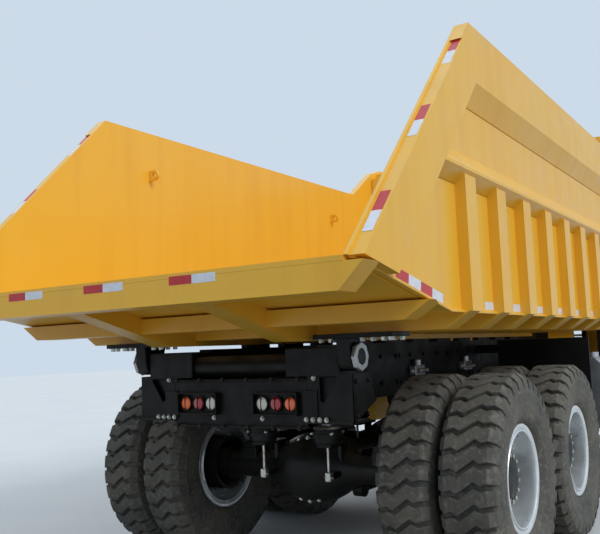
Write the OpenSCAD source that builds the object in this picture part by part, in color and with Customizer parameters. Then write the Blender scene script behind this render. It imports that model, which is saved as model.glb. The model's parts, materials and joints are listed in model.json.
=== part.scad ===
// Wide-body mining dump truck, three axles, twin drive wheels, front telescopic hoist.
// Millimetres. +Y is forward, +X is the truck's right, +Z is up.
// The origin is on the ground, midway between the tail lip and the front bumper.

/* [Overall] */
// Length from the tail lip to the front bumper
overall_l = 9050; // [8950:10:9150]
// From the rear drive axle back to the tail lip
tail_overhang = 2175; // [2100:5:2250]
// From the front drive axle forward to the steered axle
wheelbase = 3850; // [3800:5:3900]
// Between the two drive axles
bogie_pitch = 1450; // [1430:5:1480]

/* [Wheels] */
// Tyre radius at the lugs' tips
tyre_r = 685; // [660:1:700]
// Tyre section width
tyre_w = 375; // [350:1:385]
// Radius of the rim's bead seat
bead_r = 317.5; // [300:0.5:330]
// Radius of the rim flange
flange_r = 356; // [345:1:370]
// Width between the rim flanges
rim_w = 254; // [240:1:270]
// Centreline to the inner twin wheel
twin_in_x = 1005; // [1000:1:1020]
// Between the two wheels of a twin
twin_pitch = 425; // [415:1:440]
// Centreline to the front wheel
front_wheel_x = 1300; // [1280:1:1310]
// Centreline to the king pin
kingpin_x = 1050; // [1040:1:1060]
// Radius of the wheel spindles
spindle_r = 60; // [50:1:65]
// Radial running clearance of pins and bearings
run_gap = 0.05; // [0.02:0.01:0.08]
// Clearance between pieces that move past each other
move_gap = 6; // [5:1:8]

/* [Chassis] */
// Height of the frame rails' top
frame_top_z = 1600; // [1590:1:1604]
// Depth of the frame rails
frame_h = 400; // [380:5:420]
// Centreline to the rails' outer face
frame_half_w = 500; // [480:5:510]
// Width of the rails' flanges
flange_w = 110; // [90:1:120]
// Thickness of the rails' web and flanges
rail_t = 20; // [16:1:24]
// From the hinge to the frame's rear end
frame_tail_in = 160; // [150:5:180]
// From the front bumper back to the frame's front end
frame_nose_in = 400; // [395:5:420]
// From the hinge back to the lamp board's rear face
board_in = 50; // [40:5:60]

/* [Dump body] */
// Width over the side walls
body_w = 3262; // [3220:2:3300]
// Thickness of a side wall with its ribs
wall_w = 98; // [90:1:110]
// Thickness of the wall plates
plate_t = 20; // [14:1:24]
// Height of the floor's underside
floor_z = 1758; // [1750:1:1770]
// Thickness of the floor
floor_t = 25; // [20:1:30]
// From the tail lip forward to the knee of the floor
tail_flat_in = 1115; // [1080:5:1150]
// Height of the tail lip's top
lip_top_z = 1980; // [1960:5:2000]
// Height of the lip beam
lip_h = 155; // [140:5:165]
// Height of the side walls' rails, at the underside
rail_z = 3384; // [3340:2:3400]
// Height of the rail's box section
side_rail_h = 143; // [130:1:150]
// From the tail lip forward to the rail's rear end
rail_in = 1372; // [1340:2:1400]
// Length of the rear post along the wall
post_l = 420; // [400:5:440]
// From the front bumper back to the front wall's front face
front_wall_in = 2675; // [2660:5:2690]
// How much further back the front wall stands at the floor than at its top
wall_rake = 400; // [380:10:420]
// From the tail lip to the first rib
rib_in = 1308; // [1290:1:1330]
// Between ribs
rib_pitch = 552; // [540:1:560]
// Width of a rib
rib_w = 170; // [150:1:180]
// Height of the canopy's top
canopy_top_z = 3980; // [3960:5:4000]
// From the front bumper back to the canopy's front edge
canopy_in = 330; // [310:5:360]
// Underside of the body's sills
sill_z = 1626; // [1624:1:1630]
// Centreline to the middle of a sill
sill_x = 500; // [490:5:520]
// Width of a sill
sill_w = 150; // [130:5:160]

/* [Tipping hinge and hoist] */
// From the tail lip to the hinge
hinge_in = 1265; // [1255:5:1275]
// Height of the hinge
hinge_z = 1520; // [1515:1:1525]
// Radius of the hinge pin
hinge_pin_r = 50; // [45:1:55]
// Centreline to the hinge pin's end
hinge_half = 920; // [910:1:930]
// From the front bumper back to the hoist's trunnion
hoist_in = 2425; // [2415:5:2435]
// Height of the hoist's trunnion
hoist_low_z = 1440; // [1430:5:1450]
// Height of the hoist's eye
hoist_top_z = 3340; // [3330:5:3350]
// Outer diameter of the barrel
barrel_d = 260; // [250:2:270]
// How much each hoist stage is slimmer than the one round it
stage_step = 36; // [34:1:40]

/* [Cab and deck] */
// Height of the deck's top
deck_z = 1750; // [1740:5:1760]
// Thickness of the deck
deck_t = 50; // [40:5:60]
// Centreline to the cab's left side
cab_left_x = 1600; // [1590:1:1610]
// Width of the cab
cab_w = 1060; // [1040:5:1080]
// Height of the cab's roof
cab_roof_z = 3500; // [3450:5:3540]
// From the front bumper back to the cab's front
cab_front_in = 440; // [430:5:460]
// Length of the cab at its floor
cab_l = 1700; // [1680:5:1710]
// Thickness of the cab's walls
cab_t = 45; // [40:1:50]
// Radius of the wheel arches
arch_r = 860; // [855:1:870]

/* [Hidden] */
$fn = 48;

paint = "#f0b02d";
steel_black = "#16181a";
rubber = "#3a3835";
silver = "#aab0b5";
glass_tint = "#8fb0b8";

tail_y = -overall_l / 2;
nose_y = overall_l / 2;
rear_axle_y = tail_y + tail_overhang;
mid_axle_y = rear_axle_y + bogie_pitch;
front_axle_y = mid_axle_y + wheelbase;
bogie_y = (rear_axle_y + mid_axle_y) / 2;
axle_z = tyre_r;
twin_x = twin_in_x + twin_pitch / 2;

hinge_y = tail_y + hinge_in;
frame_rear_y = hinge_y + frame_tail_in;
frame_front_y = nose_y - frame_nose_in;
frame_low_z = frame_top_z - frame_h;
frame_in_x = frame_half_w - rail_t;

side_x = body_w / 2;
inner_x = side_x - wall_w;
skin_x = inner_x + plate_t;
rib_x = side_x - 10;
knee_y = tail_y + tail_flat_in;
wall_y = nose_y - front_wall_in;
rail_y = tail_y + rail_in;
rail_top_z = rail_z + side_rail_h;
post_slope = (rail_z - lip_top_z) / rail_in;
rib_y0 = tail_y + rib_in;
wall_low_y = wall_y - wall_rake;
rib_count = floor((wall_low_y - 300 - rib_y0) / rib_pitch) + 1;
rib_ys = [for (i = [0:rib_count - 1]) rib_y0 + i * rib_pitch];
hoist_y = nose_y - hoist_in;
canopy_y = nose_y - canopy_in;

cab_right_x = cab_left_x - cab_w;
cab_y1 = nose_y - cab_front_in;
cab_y0 = cab_y1 - cab_l;

// Height of the floor's underside at y
function floor_low(y) =
    y > knee_y ? floor_z : floor_z + (knee_y - y) / tail_flat_in * (lip_top_z - floor_t - floor_z);

// Front face of the raked front wall at height z
function front_at(z) = wall_low_y + (z - floor_z) / (rail_top_z - floor_z) * wall_rake;

// A block given by its two corners' coordinates on each axis
module block(x, y, z) {
    translate([x[0], y[0], z[0]]) cube([x[1] - x[0], y[1] - y[0], z[1] - z[0]]);
}

// A plate whose outline is points [y, z], standing from x[0] to x[1]
module side_plate(points, x) {
    translate([x[0], 0, 0]) rotate([90, 0, 90]) linear_extrude(x[1] - x[0]) polygon(points);
}

// A section whose outline is points [x, z], running from y[0] to y[1]
module along(points, y) {
    translate([0, y[1], 0]) rotate([90, 0, 0]) linear_extrude(y[1] - y[0]) polygon(points);
}

// A round bar along X
module cross_bar(x, y, z, d) {
    translate([x[0], y, z]) rotate([0, 90, 0]) cylinder(d = d, h = x[1] - x[0]);
}

// A round bar from one point to another
module bar(a, b, d) {
    v = b - a;
    len = norm(v);
    translate(a) rotate([0, acos(v[2] / len), atan2(v[1], v[0])]) cylinder(d = d, h = len);
}

module both_sides() {
    children();
    mirror([1, 0, 0]) children();
}

// Chassis

module frame_rail() {
    difference() {
        block([frame_half_w - flange_w, frame_half_w], [frame_rear_y, frame_front_y], [frame_low_z, frame_top_z]);
        block([frame_half_w - flange_w - 1, frame_in_x], [frame_rear_y - 1, frame_front_y + 1],
              [frame_low_z + rail_t, frame_top_z - rail_t]);
    }
}

module chassis_frame() {
    // Cross members: [from the frame's rear end, height over the rail's underside, diameter]
    tubes = [[515, 200, 150], [2165, 200, 150], [3115, 200, 150], [4415, 200, 140]];
    color(steel_black) {
        union() {
            both_sides() frame_rail();
            for (t = tubes)
                cross_bar([-frame_in_x, frame_in_x], frame_rear_y + t[0], frame_low_z + t[1], t[2]);
            block([-frame_in_x, frame_in_x], [frame_front_y - 90, frame_front_y - 5],
                  [frame_low_z + 60, frame_low_z + 200]);
            // Bogie trunnions on their brackets
            both_sides() {
                cross_bar([frame_half_w - 90, trunnion_x], bogie_y, trunnion_z, trunnion_d);
                side_plate([[bogie_y - 330, frame_low_z], [bogie_y + 330, frame_low_z],
                            [bogie_y + 110, trunnion_z - 90], [bogie_y - 110, trunnion_z - 90]],
                           [frame_half_w - 90, frame_half_w - 20]);
            }
            // Hoist trunnion ears
            both_sides() difference() {
                side_plate([[hoist_y - 110, hoist_base_z], [hoist_y + 110, hoist_base_z],
                            [hoist_y + 80, hoist_low_z + 70], [hoist_y - 80, hoist_low_z + 70]],
                           [trunnion_ear_x, trunnion_ear_x + 40]);
                cross_bar([trunnion_ear_x - 1, trunnion_ear_x + 41], hoist_y, hoist_low_z,
                          2 * (hoist_pin_r + run_gap));
            }
            block([-frame_in_x, frame_in_x], [hoist_y - 110, hoist_y + 110], [hoist_base_z - 25, hoist_base_z + 1]);
        }
    }
}

hoist_base_z = hoist_low_z - 140;
trunnion_z = 735;
trunnion_d = 150;
trunnion_x = 660;
hoist_pin_r = 40;
trunnion_ear_x = 190;

// Tail of the frame: cross beam, hinge pins, lamp board, outriggers
board_y = hinge_y - board_in;
board_z = [1115, 1360];
board_x = 545;
outrigger_x = hinge_half;
hinge_ear_t = 50;
hinge_ear_x = 860;

module tail_frame() {
    color(steel_black) union() {
        block([-800, 800], [hinge_y - 60, frame_rear_y], [1400, 1585]);
        both_sides() {
            cross_bar([780, hinge_half], hinge_y, hinge_z, 2 * hinge_pin_r);
            block([frame_half_w - flange_w, 800], [hinge_y - 20, frame_rear_y], [frame_low_z - 80, 1401]);
            // Outrigger gusset
            side_plate([[board_y, board_z[0]], [frame_rear_y + 100, 1240], [frame_rear_y, 1420], [board_y, 1420]],
                       [outrigger_x - 130, outrigger_x - 110]);
            block([board_x, outrigger_x - 110], [board_y - 6, board_y + 14], [board_z[0], 1420]);
            block([frame_half_w + 45, outrigger_x - 120], [board_y, frame_rear_y], [board_z[0], board_z[0] + 20]);
        }
        block([-board_x, board_x], [board_y - 6, board_y + 6], board_z);
        for (z = board_z)
            block([-board_x, board_x], [board_y - 50, board_y + 40], [z - 5, z + 5]);
        block([-frame_half_w, frame_half_w], [board_y, frame_rear_y], [board_z[1] - 60, board_z[1] + 50]);
    }
}

// Lamps: [distance from the centreline] on the lamp board, then headlamps in the bumper
tail_lamp_xs = [212, 321, 431];
tail_lamp_z = 1236;
tail_lamp_d = 100;
head_lamp_z = 1010;
head_lamp_xs = [1010, 1240];
head_lamp_d = 170;

module lamps() {
    color("firebrick") both_sides() {
        for (x = tail_lamp_xs)
            translate([x, board_y - 6, tail_lamp_z]) rotate([90, 0, 0]) cylinder(d = tail_lamp_d, h = 28);
        for (x = head_lamp_xs)
            translate([x, nose_y - 70, head_lamp_z]) rotate([-90, 0, 0]) cylinder(d = head_lamp_d, h = 60);
    }
}

bumper_z = [700, 1240];
bumper_x = 1600;

module front_bumper() {
    color(paint) difference() {
        union() {
            // Bumper skin: its ends sweep back
            difference() {
                linear_z(bumper_z[0], bumper_z[1])
                    polygon([[-bumper_x, nose_y - 330], [-bumper_x, nose_y - 120], [-bumper_x + 160, nose_y],
                             [bumper_x - 160, nose_y], [bumper_x, nose_y - 120], [bumper_x, nose_y - 330]]);
                linear_z(bumper_z[0] + 25, bumper_z[1] - 25)
                    polygon([[-bumper_x + 25, nose_y - 331], [-bumper_x + 25, nose_y - 130],
                             [-bumper_x + 170, nose_y - 25], [bumper_x - 170, nose_y - 25],
                             [bumper_x - 25, nose_y - 130], [bumper_x - 25, nose_y - 331]]);
            }
            // Buckets behind the headlamps
            both_sides() block([head_lamp_xs[0] - 125, head_lamp_xs[1] + 125], [nose_y - 95, nose_y - 24],
                               [head_lamp_z - 120, head_lamp_z + 120]);
        }
        // Recesses for the headlamps
        both_sides() block([head_lamp_xs[0] - 115, head_lamp_xs[1] + 115], [nose_y - 70, nose_y + 1],
                           [head_lamp_z - 110, head_lamp_z + 110]);
        // Pocket round the tow pin, and the hole that the pin drops through
        block([-tow_pocket_x, tow_pocket_x], [nose_y - 26, nose_y + 1], [tow_z - 110, tow_z + 110]);
        translate([0, nose_y - tow_in, bumper_z[1] - 40]) cylinder(d = 80, h = 60);
    }
    // Arms under the rails, and the tow pin's bracket between them
    color(steel_black) difference() {
        union() {
            both_sides() block([frame_half_w - flange_w, frame_half_w], [frame_front_y - 250, nose_y - 25],
                               [frame_low_z - 120, frame_low_z]);
            block([-frame_half_w, frame_half_w], [nose_y - 400, nose_y - 320],
                  [tow_z - tow_gap - 15, frame_low_z - 100]);
            for (s = [-1, 1])
                block([-90, 90], [nose_y - 330, nose_y - 14], [tow_z + s * tow_gap - 15, tow_z + s * tow_gap + 15]);
        }
        translate([0, nose_y - tow_in, tow_z - 100]) cylinder(r = tow_pin_r, h = 200);
    }
}

tow_z = 900;
tow_in = 70;
tow_gap = 60;
tow_pin_r = 25;
tow_pocket_x = 200;

module linear_z(z0, z1) {
    translate([0, 0, z0]) linear_extrude(z1 - z0) children();
}

grille_x = 560;
grille_z = [1260, 2160];
grille_y = nose_y - 330;
grille_bars = 9;

module grille() {
    h = grille_z[1] - grille_z[0];
    color(steel_black) union() {
        difference() {
            block([-grille_x, grille_x], [grille_y - 60, grille_y], grille_z);
            block([-grille_x + 60, grille_x - 60], [grille_y - 61, grille_y + 1],
                  [grille_z[0] + 60, grille_z[1] - 60]);
        }
        for (i = [1:grille_bars])
            translate([-grille_x + 30, grille_y - 30, grille_z[0] + 30 + i * (h - 60) / (grille_bars + 1)])
                rotate([25, 0, 0]) translate([0, -25, -6]) cube([2 * grille_x - 60, 50, 12]);
    }
}

module radiator() {
    color("dimgray") block([-frame_half_w + flange_w, frame_half_w - flange_w],
                           [grille_y - 280, grille_y - 170], [frame_low_z - 30, grille_z[1] - 80]);
}

engine_y = [cab_y0 + 80, grille_y - 420];

module engine() {
    color("dimgray") union() {
        block([-330, 330], engine_y, [frame_low_z - 60, frame_top_z + 420]);
        block([-200, 200], [engine_y[0] + 80, engine_y[1] - 80], [frame_low_z - 260, frame_low_z - 59]);
        // Mounts on the rails
        both_sides() for (y = [engine_y[0] + 150, engine_y[1] - 150])
            block([329, frame_half_w - flange_w], [y - 60, y + 60], [frame_low_z + 120, frame_low_z + 180]);
        // Fan
        translate([0, engine_y[1] - 1, frame_top_z]) rotate([-90, 0, 0]) cylinder(d = 640, h = 90);
    }
}

shaft_d = 110;
gearbox_y = [engine_y[0] - 900, engine_y[0]];

module driveline() {
    color("dimgray") union() {
        translate([0, gearbox_y[1], shaft_z]) rotate([90, 0, 0])
            cylinder(r1 = 260, r2 = 190, h = gearbox_y[1] - gearbox_y[0] - 100);
        translate([0, gearbox_y[0] + 101, shaft_z]) rotate([90, 0, 0]) cylinder(d = 180, h = 101);
        bar([0, gearbox_y[0] + 40, shaft_z], [0, mid_axle_y + pinion_l + 40, axle_z + pinion_up], shaft_d);
        yoke(mid_axle_y + pinion_l);
    }
    color("dimgray") union() {
        bar([0, mid_axle_y - pinion_l - 40, axle_z + pinion_up],
            [0, rear_axle_y + pinion_l + 40, axle_z + pinion_up], shaft_d);
        yoke(mid_axle_y - pinion_l - 80);
        yoke(rear_axle_y + pinion_l);
    }
}

module yoke(y) {
    translate([0, y, axle_z + pinion_up]) rotate([-90, 0, 0]) cylinder(d = 150, h = 80);
}

shaft_z = 1020;
pinion_l = 420;
pinion_up = 90;

// Axles

housing_d = 200;
bowl_r = 260;
hub_flange_x = twin_in_x - 225;

module drive_axle(y, through) {
    rod_side = through ? -1 : 1;
    translate([0, y, axle_z]) {
        both_sides() {
            cross_bar([0, hub_flange_x], 0, 0, housing_d);
            cross_bar([hub_flange_x - 1, hub_flange_x + 30], 0, 0, 260);
            cross_bar([hub_flange_x, twin_x - 60], 0, 0, 2 * spindle_r);
            // Spring seat and brake chamber with its rod
            block([spring_x[0] - 10, spring_x[1] + 10], [-90, 90], [0, seat_up]);
            translate([430, -230, 60]) rotate([90, 0, 0]) cylinder(d = 190, h = 150);
            bar([430, -231, 60], [560, -60, 40], 50);
            // Seat of the torque rod's eye
            block([290, 370], [rod_side * 60 - 30, rod_side * 60 + 30], [-150 + 55, -50]);
        }
        // Bowl of the final drive
        rotate([90, 0, 0]) translate([0, 0, -230]) rotate_extrude()
            polygon([[0, 0], [120, 0], [bowl_r, 130], [bowl_r, 330], [170, 430], [0, 430]]);
        translate([0, pinion_l, pinion_up]) rotate([90, 0, 0])
            cylinder(d = 170, h = through ? 2 * pinion_l : pinion_l);
    }
}

spring_x = [520, 640];
seat_up = 135;

module drive_axles() {
    color("#23262a") {
        drive_axle(mid_axle_y, true);
        drive_axle(rear_axle_y, false);
    }
}

beam_drop = 60;
boss_h = 130;
kingpin_r = 30;

module front_axle() {
    color("#23262a") translate([0, front_axle_y, axle_z]) difference() {
        union() {
            // Beam, dropped between its king pin bosses
            translate([0, 60, 0]) rotate([90, 0, 0]) linear_extrude(120)
                polygon([[-kingpin_x, boss_h / 2], [-820, boss_h / 2], [-700, -beam_drop + 60],
                         [700, -beam_drop + 60], [820, boss_h / 2], [kingpin_x, boss_h / 2],
                         [kingpin_x, -boss_h / 2], [820, -boss_h / 2], [700, -beam_drop - 90],
                         [-700, -beam_drop - 90], [-820, -boss_h / 2], [-kingpin_x, -boss_h / 2]]);
            both_sides() {
                translate([kingpin_x, 0, -boss_h / 2]) cylinder(r = 75, h = boss_h);
                block([front_spring_x[0] - 10, front_spring_x[1] + 10], [-90, 90], [-beam_drop, front_seat_up]);
            }
        }
        both_sides() translate([kingpin_x, 0, -boss_h]) cylinder(r = kingpin_r + run_gap, h = 2 * boss_h);
    }
}

front_spring_x = [400, 490];
front_seat_up = 90;

// A pack of bowed leaves: ends at [y0, y1], resting at z, bowed by sag, thick in the middle
module leaf_pack(x, y0, y1, z, sag, thick) {
    half = (y1 - y0) / 2;
    r = (half * half + sag * sag) / (2 * sag);
    intersection() {
        translate([x[0], (y0 + y1) / 2, z - sag + r]) rotate([0, 90, 0]) difference() {
            cylinder(r = r, h = x[1] - x[0], $fn = 180);
            translate([0, 0, -1]) cylinder(r = r - thick, h = x[1] - x[0] + 2, $fn = 180);
        }
        block(x, [y0, y1], [z - sag - 1, z + thick]);
    }
}

rear_pack = 130;
front_pack = 90;

module leaf_springs() {
    color("#2b2d30") both_sides() {
        // Bogie pack bears on both axle seats and hangs from the trunnion between them
        union() {
            block([spring_x[0], spring_x[1]], [rear_axle_y - 80, mid_axle_y + 80],
                  [axle_z + seat_up, axle_z + seat_up + 45]);
            block([spring_x[0], spring_x[1]], [bogie_y - 480, bogie_y + 480],
                  [axle_z + seat_up + 44, axle_z + seat_up + 90]);
            block([spring_x[0], spring_x[1]], [bogie_y - 260, bogie_y + 260],
                  [axle_z + seat_up + 89, axle_z + seat_up + 130]);
            difference() {
                block([spring_x[0], spring_x[1]], [bogie_y - 120, bogie_y + 120],
                      [trunnion_z, axle_z + seat_up + 1]);
                cross_bar([spring_x[0] - 1, spring_x[1] + 1], bogie_y, trunnion_z, trunnion_d + 0.6);
            }
        }
        union() {
            leaf_pack(front_spring_x, front_axle_y - 780, front_axle_y + 780,
                      axle_z + front_seat_up + 130, 130, front_pack);
            // Eyes, hangers and shackles
            for (s = [-1, 1]) {
                cross_bar(front_spring_x, front_axle_y + s * 780, axle_z + front_seat_up + 130, 90);
                block([front_spring_x[0], front_spring_x[1]],
                      [front_axle_y + s * 780 - 35, front_axle_y + s * 780 + 35],
                      [axle_z + front_seat_up + 130, frame_low_z]);
            }
        }
    }
}

module torque_rods() {
    rod_d = 60;
    color("#23262a") both_sides() for (s = [-1, 1]) {
        axle_y = s < 0 ? rear_axle_y : mid_axle_y;
        union() {
            bar([330, axle_y - s * 60, axle_z - 150], [frame_half_w - 55, bogie_y + s * 60, trunnion_z - 150], rod_d);
            cross_bar([290, 370], axle_y - s * 60, axle_z - 150, 110);
            cross_bar([frame_half_w - 95, frame_half_w - 15], bogie_y + s * 60, trunnion_z - 150, 110);
            block([frame_half_w - 90, frame_half_w - 20], [bogie_y + s * 60 - 30, bogie_y + s * 60 + 30],
                  [trunnion_z - 150, trunnion_z - 90]);
        }
    }
}

// Steering

arm_back = 230;
arm_z = -150;
arm_pin_r = 20;

module knuckle(side) {
    translate([side * kingpin_x, front_axle_y, axle_z]) difference() {
        union() {
            cylinder(r = kingpin_r, h = 2 * boss_h, center = true);
            // Fork over and under the beam's boss
            for (s = [-1, 1])
                translate([0, 0, s * (boss_h / 2 + move_gap + 25)]) cylinder(r = 75, h = 50, center = true);
            translate([side > 0 ? 20 : -90, -70, boss_h / 2 + move_gap]) cube([70, 140, 50]);
            translate([side > 0 ? 20 : -90, -70, -boss_h / 2 - move_gap - 50]) cube([70, 140, 50]);
            translate([side > 0 ? 85 : -115, -80, -boss_h / 2 - move_gap - 50])
                cube([30, 160, boss_h + 2 * move_gap + 100]);
            cross_bar(side > 0 ? [80, front_hub_in] : [-front_hub_in, -80], 0, 0, 2 * spindle_r);
            // Steering arm, back to the track rod
            translate([-45, -arm_back - 10, arm_z - 20]) cube([90, arm_back + 40, 40]);
            translate([0, -arm_back, arm_z - 20]) cylinder(r = 45, h = 40);
            translate([-45, -60, arm_z - 20]) cube([90, 110, 60]);
            // Ball pin that the rod's eye turns on
            translate([0, -arm_back, arm_z - 90]) cylinder(r = arm_pin_r, h = 80);
        }
    }
}

front_hub_in = 330;

module knuckle_left() {
    color("#2b2d30") knuckle(-1);
}

module knuckle_right() {
    color("#2b2d30") knuckle(1);
}

module track_rod() {
    z = axle_z + arm_z - 20 - move_gap - 22;
    y = front_axle_y - arm_back;
    color("#2b2d30") difference() {
        union() {
            cross_bar([-kingpin_x + 30, kingpin_x - 30], y, z, 44);
            both_sides() translate([kingpin_x, y, z - 22]) cylinder(r = 42, h = 44);
        }
        both_sides() translate([kingpin_x, y, z - 40]) cylinder(r = arm_pin_r + run_gap, h = 80);
    }
}

// Wheels: round X, about their own middle

// Half section of the tyre: [radius, half width]
tyre_half = [[bead_r + 0.5, rim_w / 2], [flange_r, rim_w / 2], [flange_r + 16, rim_w / 2 + 20],
             [flange_r + 60, tyre_w / 2 - 12], [flange_r + 130, tyre_w / 2], [tyre_r - 95, tyre_w / 2 - 2],
             [tyre_r - 30, tyre_w / 2 - 14], [tyre_r, tyre_w / 2 - 50]];

module tyre() {
    n = len(tyre_half);
    rotate([0, 90, 0]) rotate_extrude($fn = 72)
        polygon(concat(tyre_half, [for (i = [n - 1:-1:0]) [tyre_half[i][0], -tyre_half[i][1]]]));
}

rim_t = 16;
dish_in = twin_pitch / 2;
hub_r = 165;

// Rim ring with its flanges and a dished disc whose mounting face is at x = face
module rim(face) {
    s = face > 0 ? 1 : -1;
    rotate([0, 90, 0]) rotate_extrude($fn = 72) {
        polygon([[bead_r - rim_t, -rim_w / 2 - 14], [flange_r, -rim_w / 2 - 14], [flange_r, -rim_w / 2],
                 [bead_r, -rim_w / 2], [bead_r, rim_w / 2], [flange_r, rim_w / 2],
                 [flange_r, rim_w / 2 + 14], [bead_r - rim_t, rim_w / 2 + 14]]);
        polygon([[bead_r - rim_t + 1, s * (rim_w / 2 - 50)], [bead_r - rim_t + 1, s * (rim_w / 2 - 30)],
                 [hub_r + 40, face], [spindle_r + 30, face], [spindle_r + 30, face - s * 20],
                 [hub_r + 32, face - s * 20]]);
    }
}

// Hub and drum of a twin wheel, from the centreline side out
module twin_hub() {
    inner = hub_flange_x + 30 + move_gap - twin_x;
    rotate([0, 90, 0]) rotate_extrude($fn = 48)
        polygon([[spindle_r + run_gap, inner], [110, inner], [110, -140], [190, -140], [190, inner + 10],
                 [210, inner + 10], [210, -110], [hub_r, -100], [hub_r, 150], [120, 190], [0, 190],
                 [0, -54], [spindle_r + run_gap, -54]]);
}

module twin_rims(side, y) {
    translate([side * twin_x, y, axle_z]) mirror([side > 0 ? 0 : 1, 0, 0]) union() {
        translate([-twin_pitch / 2, 0, 0]) rim(dish_in);
        translate([twin_pitch / 2, 0, 0]) rim(-dish_in);
        twin_hub();
    }
}

module twin_tyres(side, y) {
    for (i = [0, 1]) translate([side * (twin_in_x + i * twin_pitch), y, axle_z]) tyre();
}

front_face = 110;

module front_rim(side) {
    inner = kingpin_x + 115 + move_gap - front_wheel_x;
    translate([side * front_wheel_x, front_axle_y, axle_z]) mirror([side > 0 ? 0 : 1, 0, 0]) union() {
        rim(front_face);
        rotate([0, 90, 0]) rotate_extrude($fn = 48)
            polygon([[spindle_r + run_gap, inner], [110, inner], [110, -40], [190, -40], [190, inner + 10],
                     [210, inner + 10], [210, -10], [hub_r, 0], [hub_r, front_face + 40], [100, front_face + 60],
                     [0, front_face + 60], [0, front_hub_in + kingpin_x - front_wheel_x + 6],
                     [spindle_r + run_gap, front_hub_in + kingpin_x - front_wheel_x + 6]]);
    }
}

module front_tyre(side) {
    translate([side * front_wheel_x, front_axle_y, axle_z]) tyre();
}

module tyre_front_left() { color(rubber) front_tyre(-1); }
module tyre_front_right() { color(rubber) front_tyre(1); }
module rim_front_left() { color(silver) front_rim(-1); }
module rim_front_right() { color(silver) front_rim(1); }
module tyres_mid_left() { color(rubber) twin_tyres(-1, mid_axle_y); }
module tyres_mid_right() { color(rubber) twin_tyres(1, mid_axle_y); }
module tyres_rear_left() { color(rubber) twin_tyres(-1, rear_axle_y); }
module tyres_rear_right() { color(rubber) twin_tyres(1, rear_axle_y); }
module rims_mid_left() { color(silver) twin_rims(-1, mid_axle_y); }
module rims_mid_right() { color(silver) twin_rims(1, mid_axle_y); }
module rims_rear_left() { color(silver) twin_rims(-1, rear_axle_y); }
module rims_rear_right() { color(silver) twin_rims(1, rear_axle_y); }

// Dump body

// Outline of a side wall in [y, z], from the tail's tip round to the front
wall_outline = [[tail_y, lip_top_z], [rail_y, rail_z], [front_at(rail_z), rail_z], [wall_low_y, floor_z],
                [knee_y, floor_z]];
panel_z = [2590, 3160];
ledge_drop = 70;

module side_wall() {
    post_in = 15;
    union() {
        side_plate(wall_outline, [inner_x, skin_x]);
        intersection() {
            // Everything outside the plate keeps to its outline, a little in from the rear edge
            side_plate(concat([[tail_y + post_in, lip_top_z - post_in / tail_flat_in * (lip_top_z - floor_z)],
                               [rail_y + post_in, rail_z]],
                              [for (i = [2:4]) wall_outline[i]]), [skin_x - 1, side_x]);
            union() {
                // Rear post, flush with the upper band
                side_plate([[tail_y, lip_top_z], [rail_y, rail_z], [rail_y + post_l, rail_z],
                            [tail_y + post_l - (lip_top_z - floor_z) / post_slope, floor_z],
                            [tail_y, floor_z]], [skin_x - 1, side_x]);
                // Front post
                side_plate([[front_at(rail_z) - 230, rail_z], [front_at(rail_z), rail_z],
                            [wall_low_y, floor_z], [wall_low_y - 230, floor_z]], [skin_x - 1, side_x]);
                // Upper band with its sloped underside
                along([[skin_x - 1, rail_z], [side_x, rail_z], [side_x, panel_z[1]],
                       [skin_x + 6, panel_z[1] - 140], [skin_x - 1, panel_z[1] - 140]], [tail_y, wall_y]);
                // Ledge below the plain panel
                along([[skin_x - 1, panel_z[0] + 110], [skin_x + 6, panel_z[0] + 110], [side_x - 12, panel_z[0] + 30],
                       [side_x, panel_z[0] + 5], [side_x, panel_z[0] - 15], [skin_x + 6, panel_z[0] - 90],
                       [skin_x - 1, panel_z[0] - 90]], [tail_y, wall_y]);
            }
        }
        for (y = rib_ys)
            block([skin_x - 1, rib_x], [y, y + rib_w], [floor_z, panel_z[0] - 40]);
        // Rail, cut on the post's slope
        side_plate([[rail_y, rail_z], [rail_y + side_rail_h / post_slope, rail_top_z],
                    [wall_y, rail_top_z], [front_at(rail_z), rail_z]], [inner_x, side_x - 6]);
        for (y = lifting_eye_ys) lifting_eye(y);
    }
}

lifting_eye_ys = [rail_y + 653, wall_y - 1226];
lifting_eye_z = 3140;
lifting_eye_r = 22;

// A pierced lug that stands in from the wall's inner face
module lifting_eye(y) {
    translate([inner_x - 60, y + 12.5, lifting_eye_z]) rotate([90, 0, 0]) difference() {
        union() {
            cylinder(r = 45, h = 25);
            translate([0, -45, 0]) cube([61, 90, 25]);
        }
        translate([0, 0, -1]) cylinder(r = lifting_eye_r, h = 27);
    }
}

module bed_side_right() { color(paint) side_wall(); }
module bed_side_left() { color(paint) mirror([1, 0, 0]) side_wall(); }

module bed_floor() {
    color(paint) side_plate([[tail_y, lip_top_z - floor_t], [knee_y, floor_z], [wall_low_y, floor_z],
                             [wall_low_y, floor_z + floor_t], [knee_y, floor_z + floor_t], [tail_y, lip_top_z]],
                            [-inner_x, inner_x]);
}

member_h = 96;
member_w = 170;

module cross_member(y) {
    low = floor_low(y + member_w / 2);
    along([[-side_x + 30, low + 1], [side_x - 30, low + 1], [side_x - 180, low - member_h],
           [-side_x + 180, low - member_h]], [y, y + member_w]);
}

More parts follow.
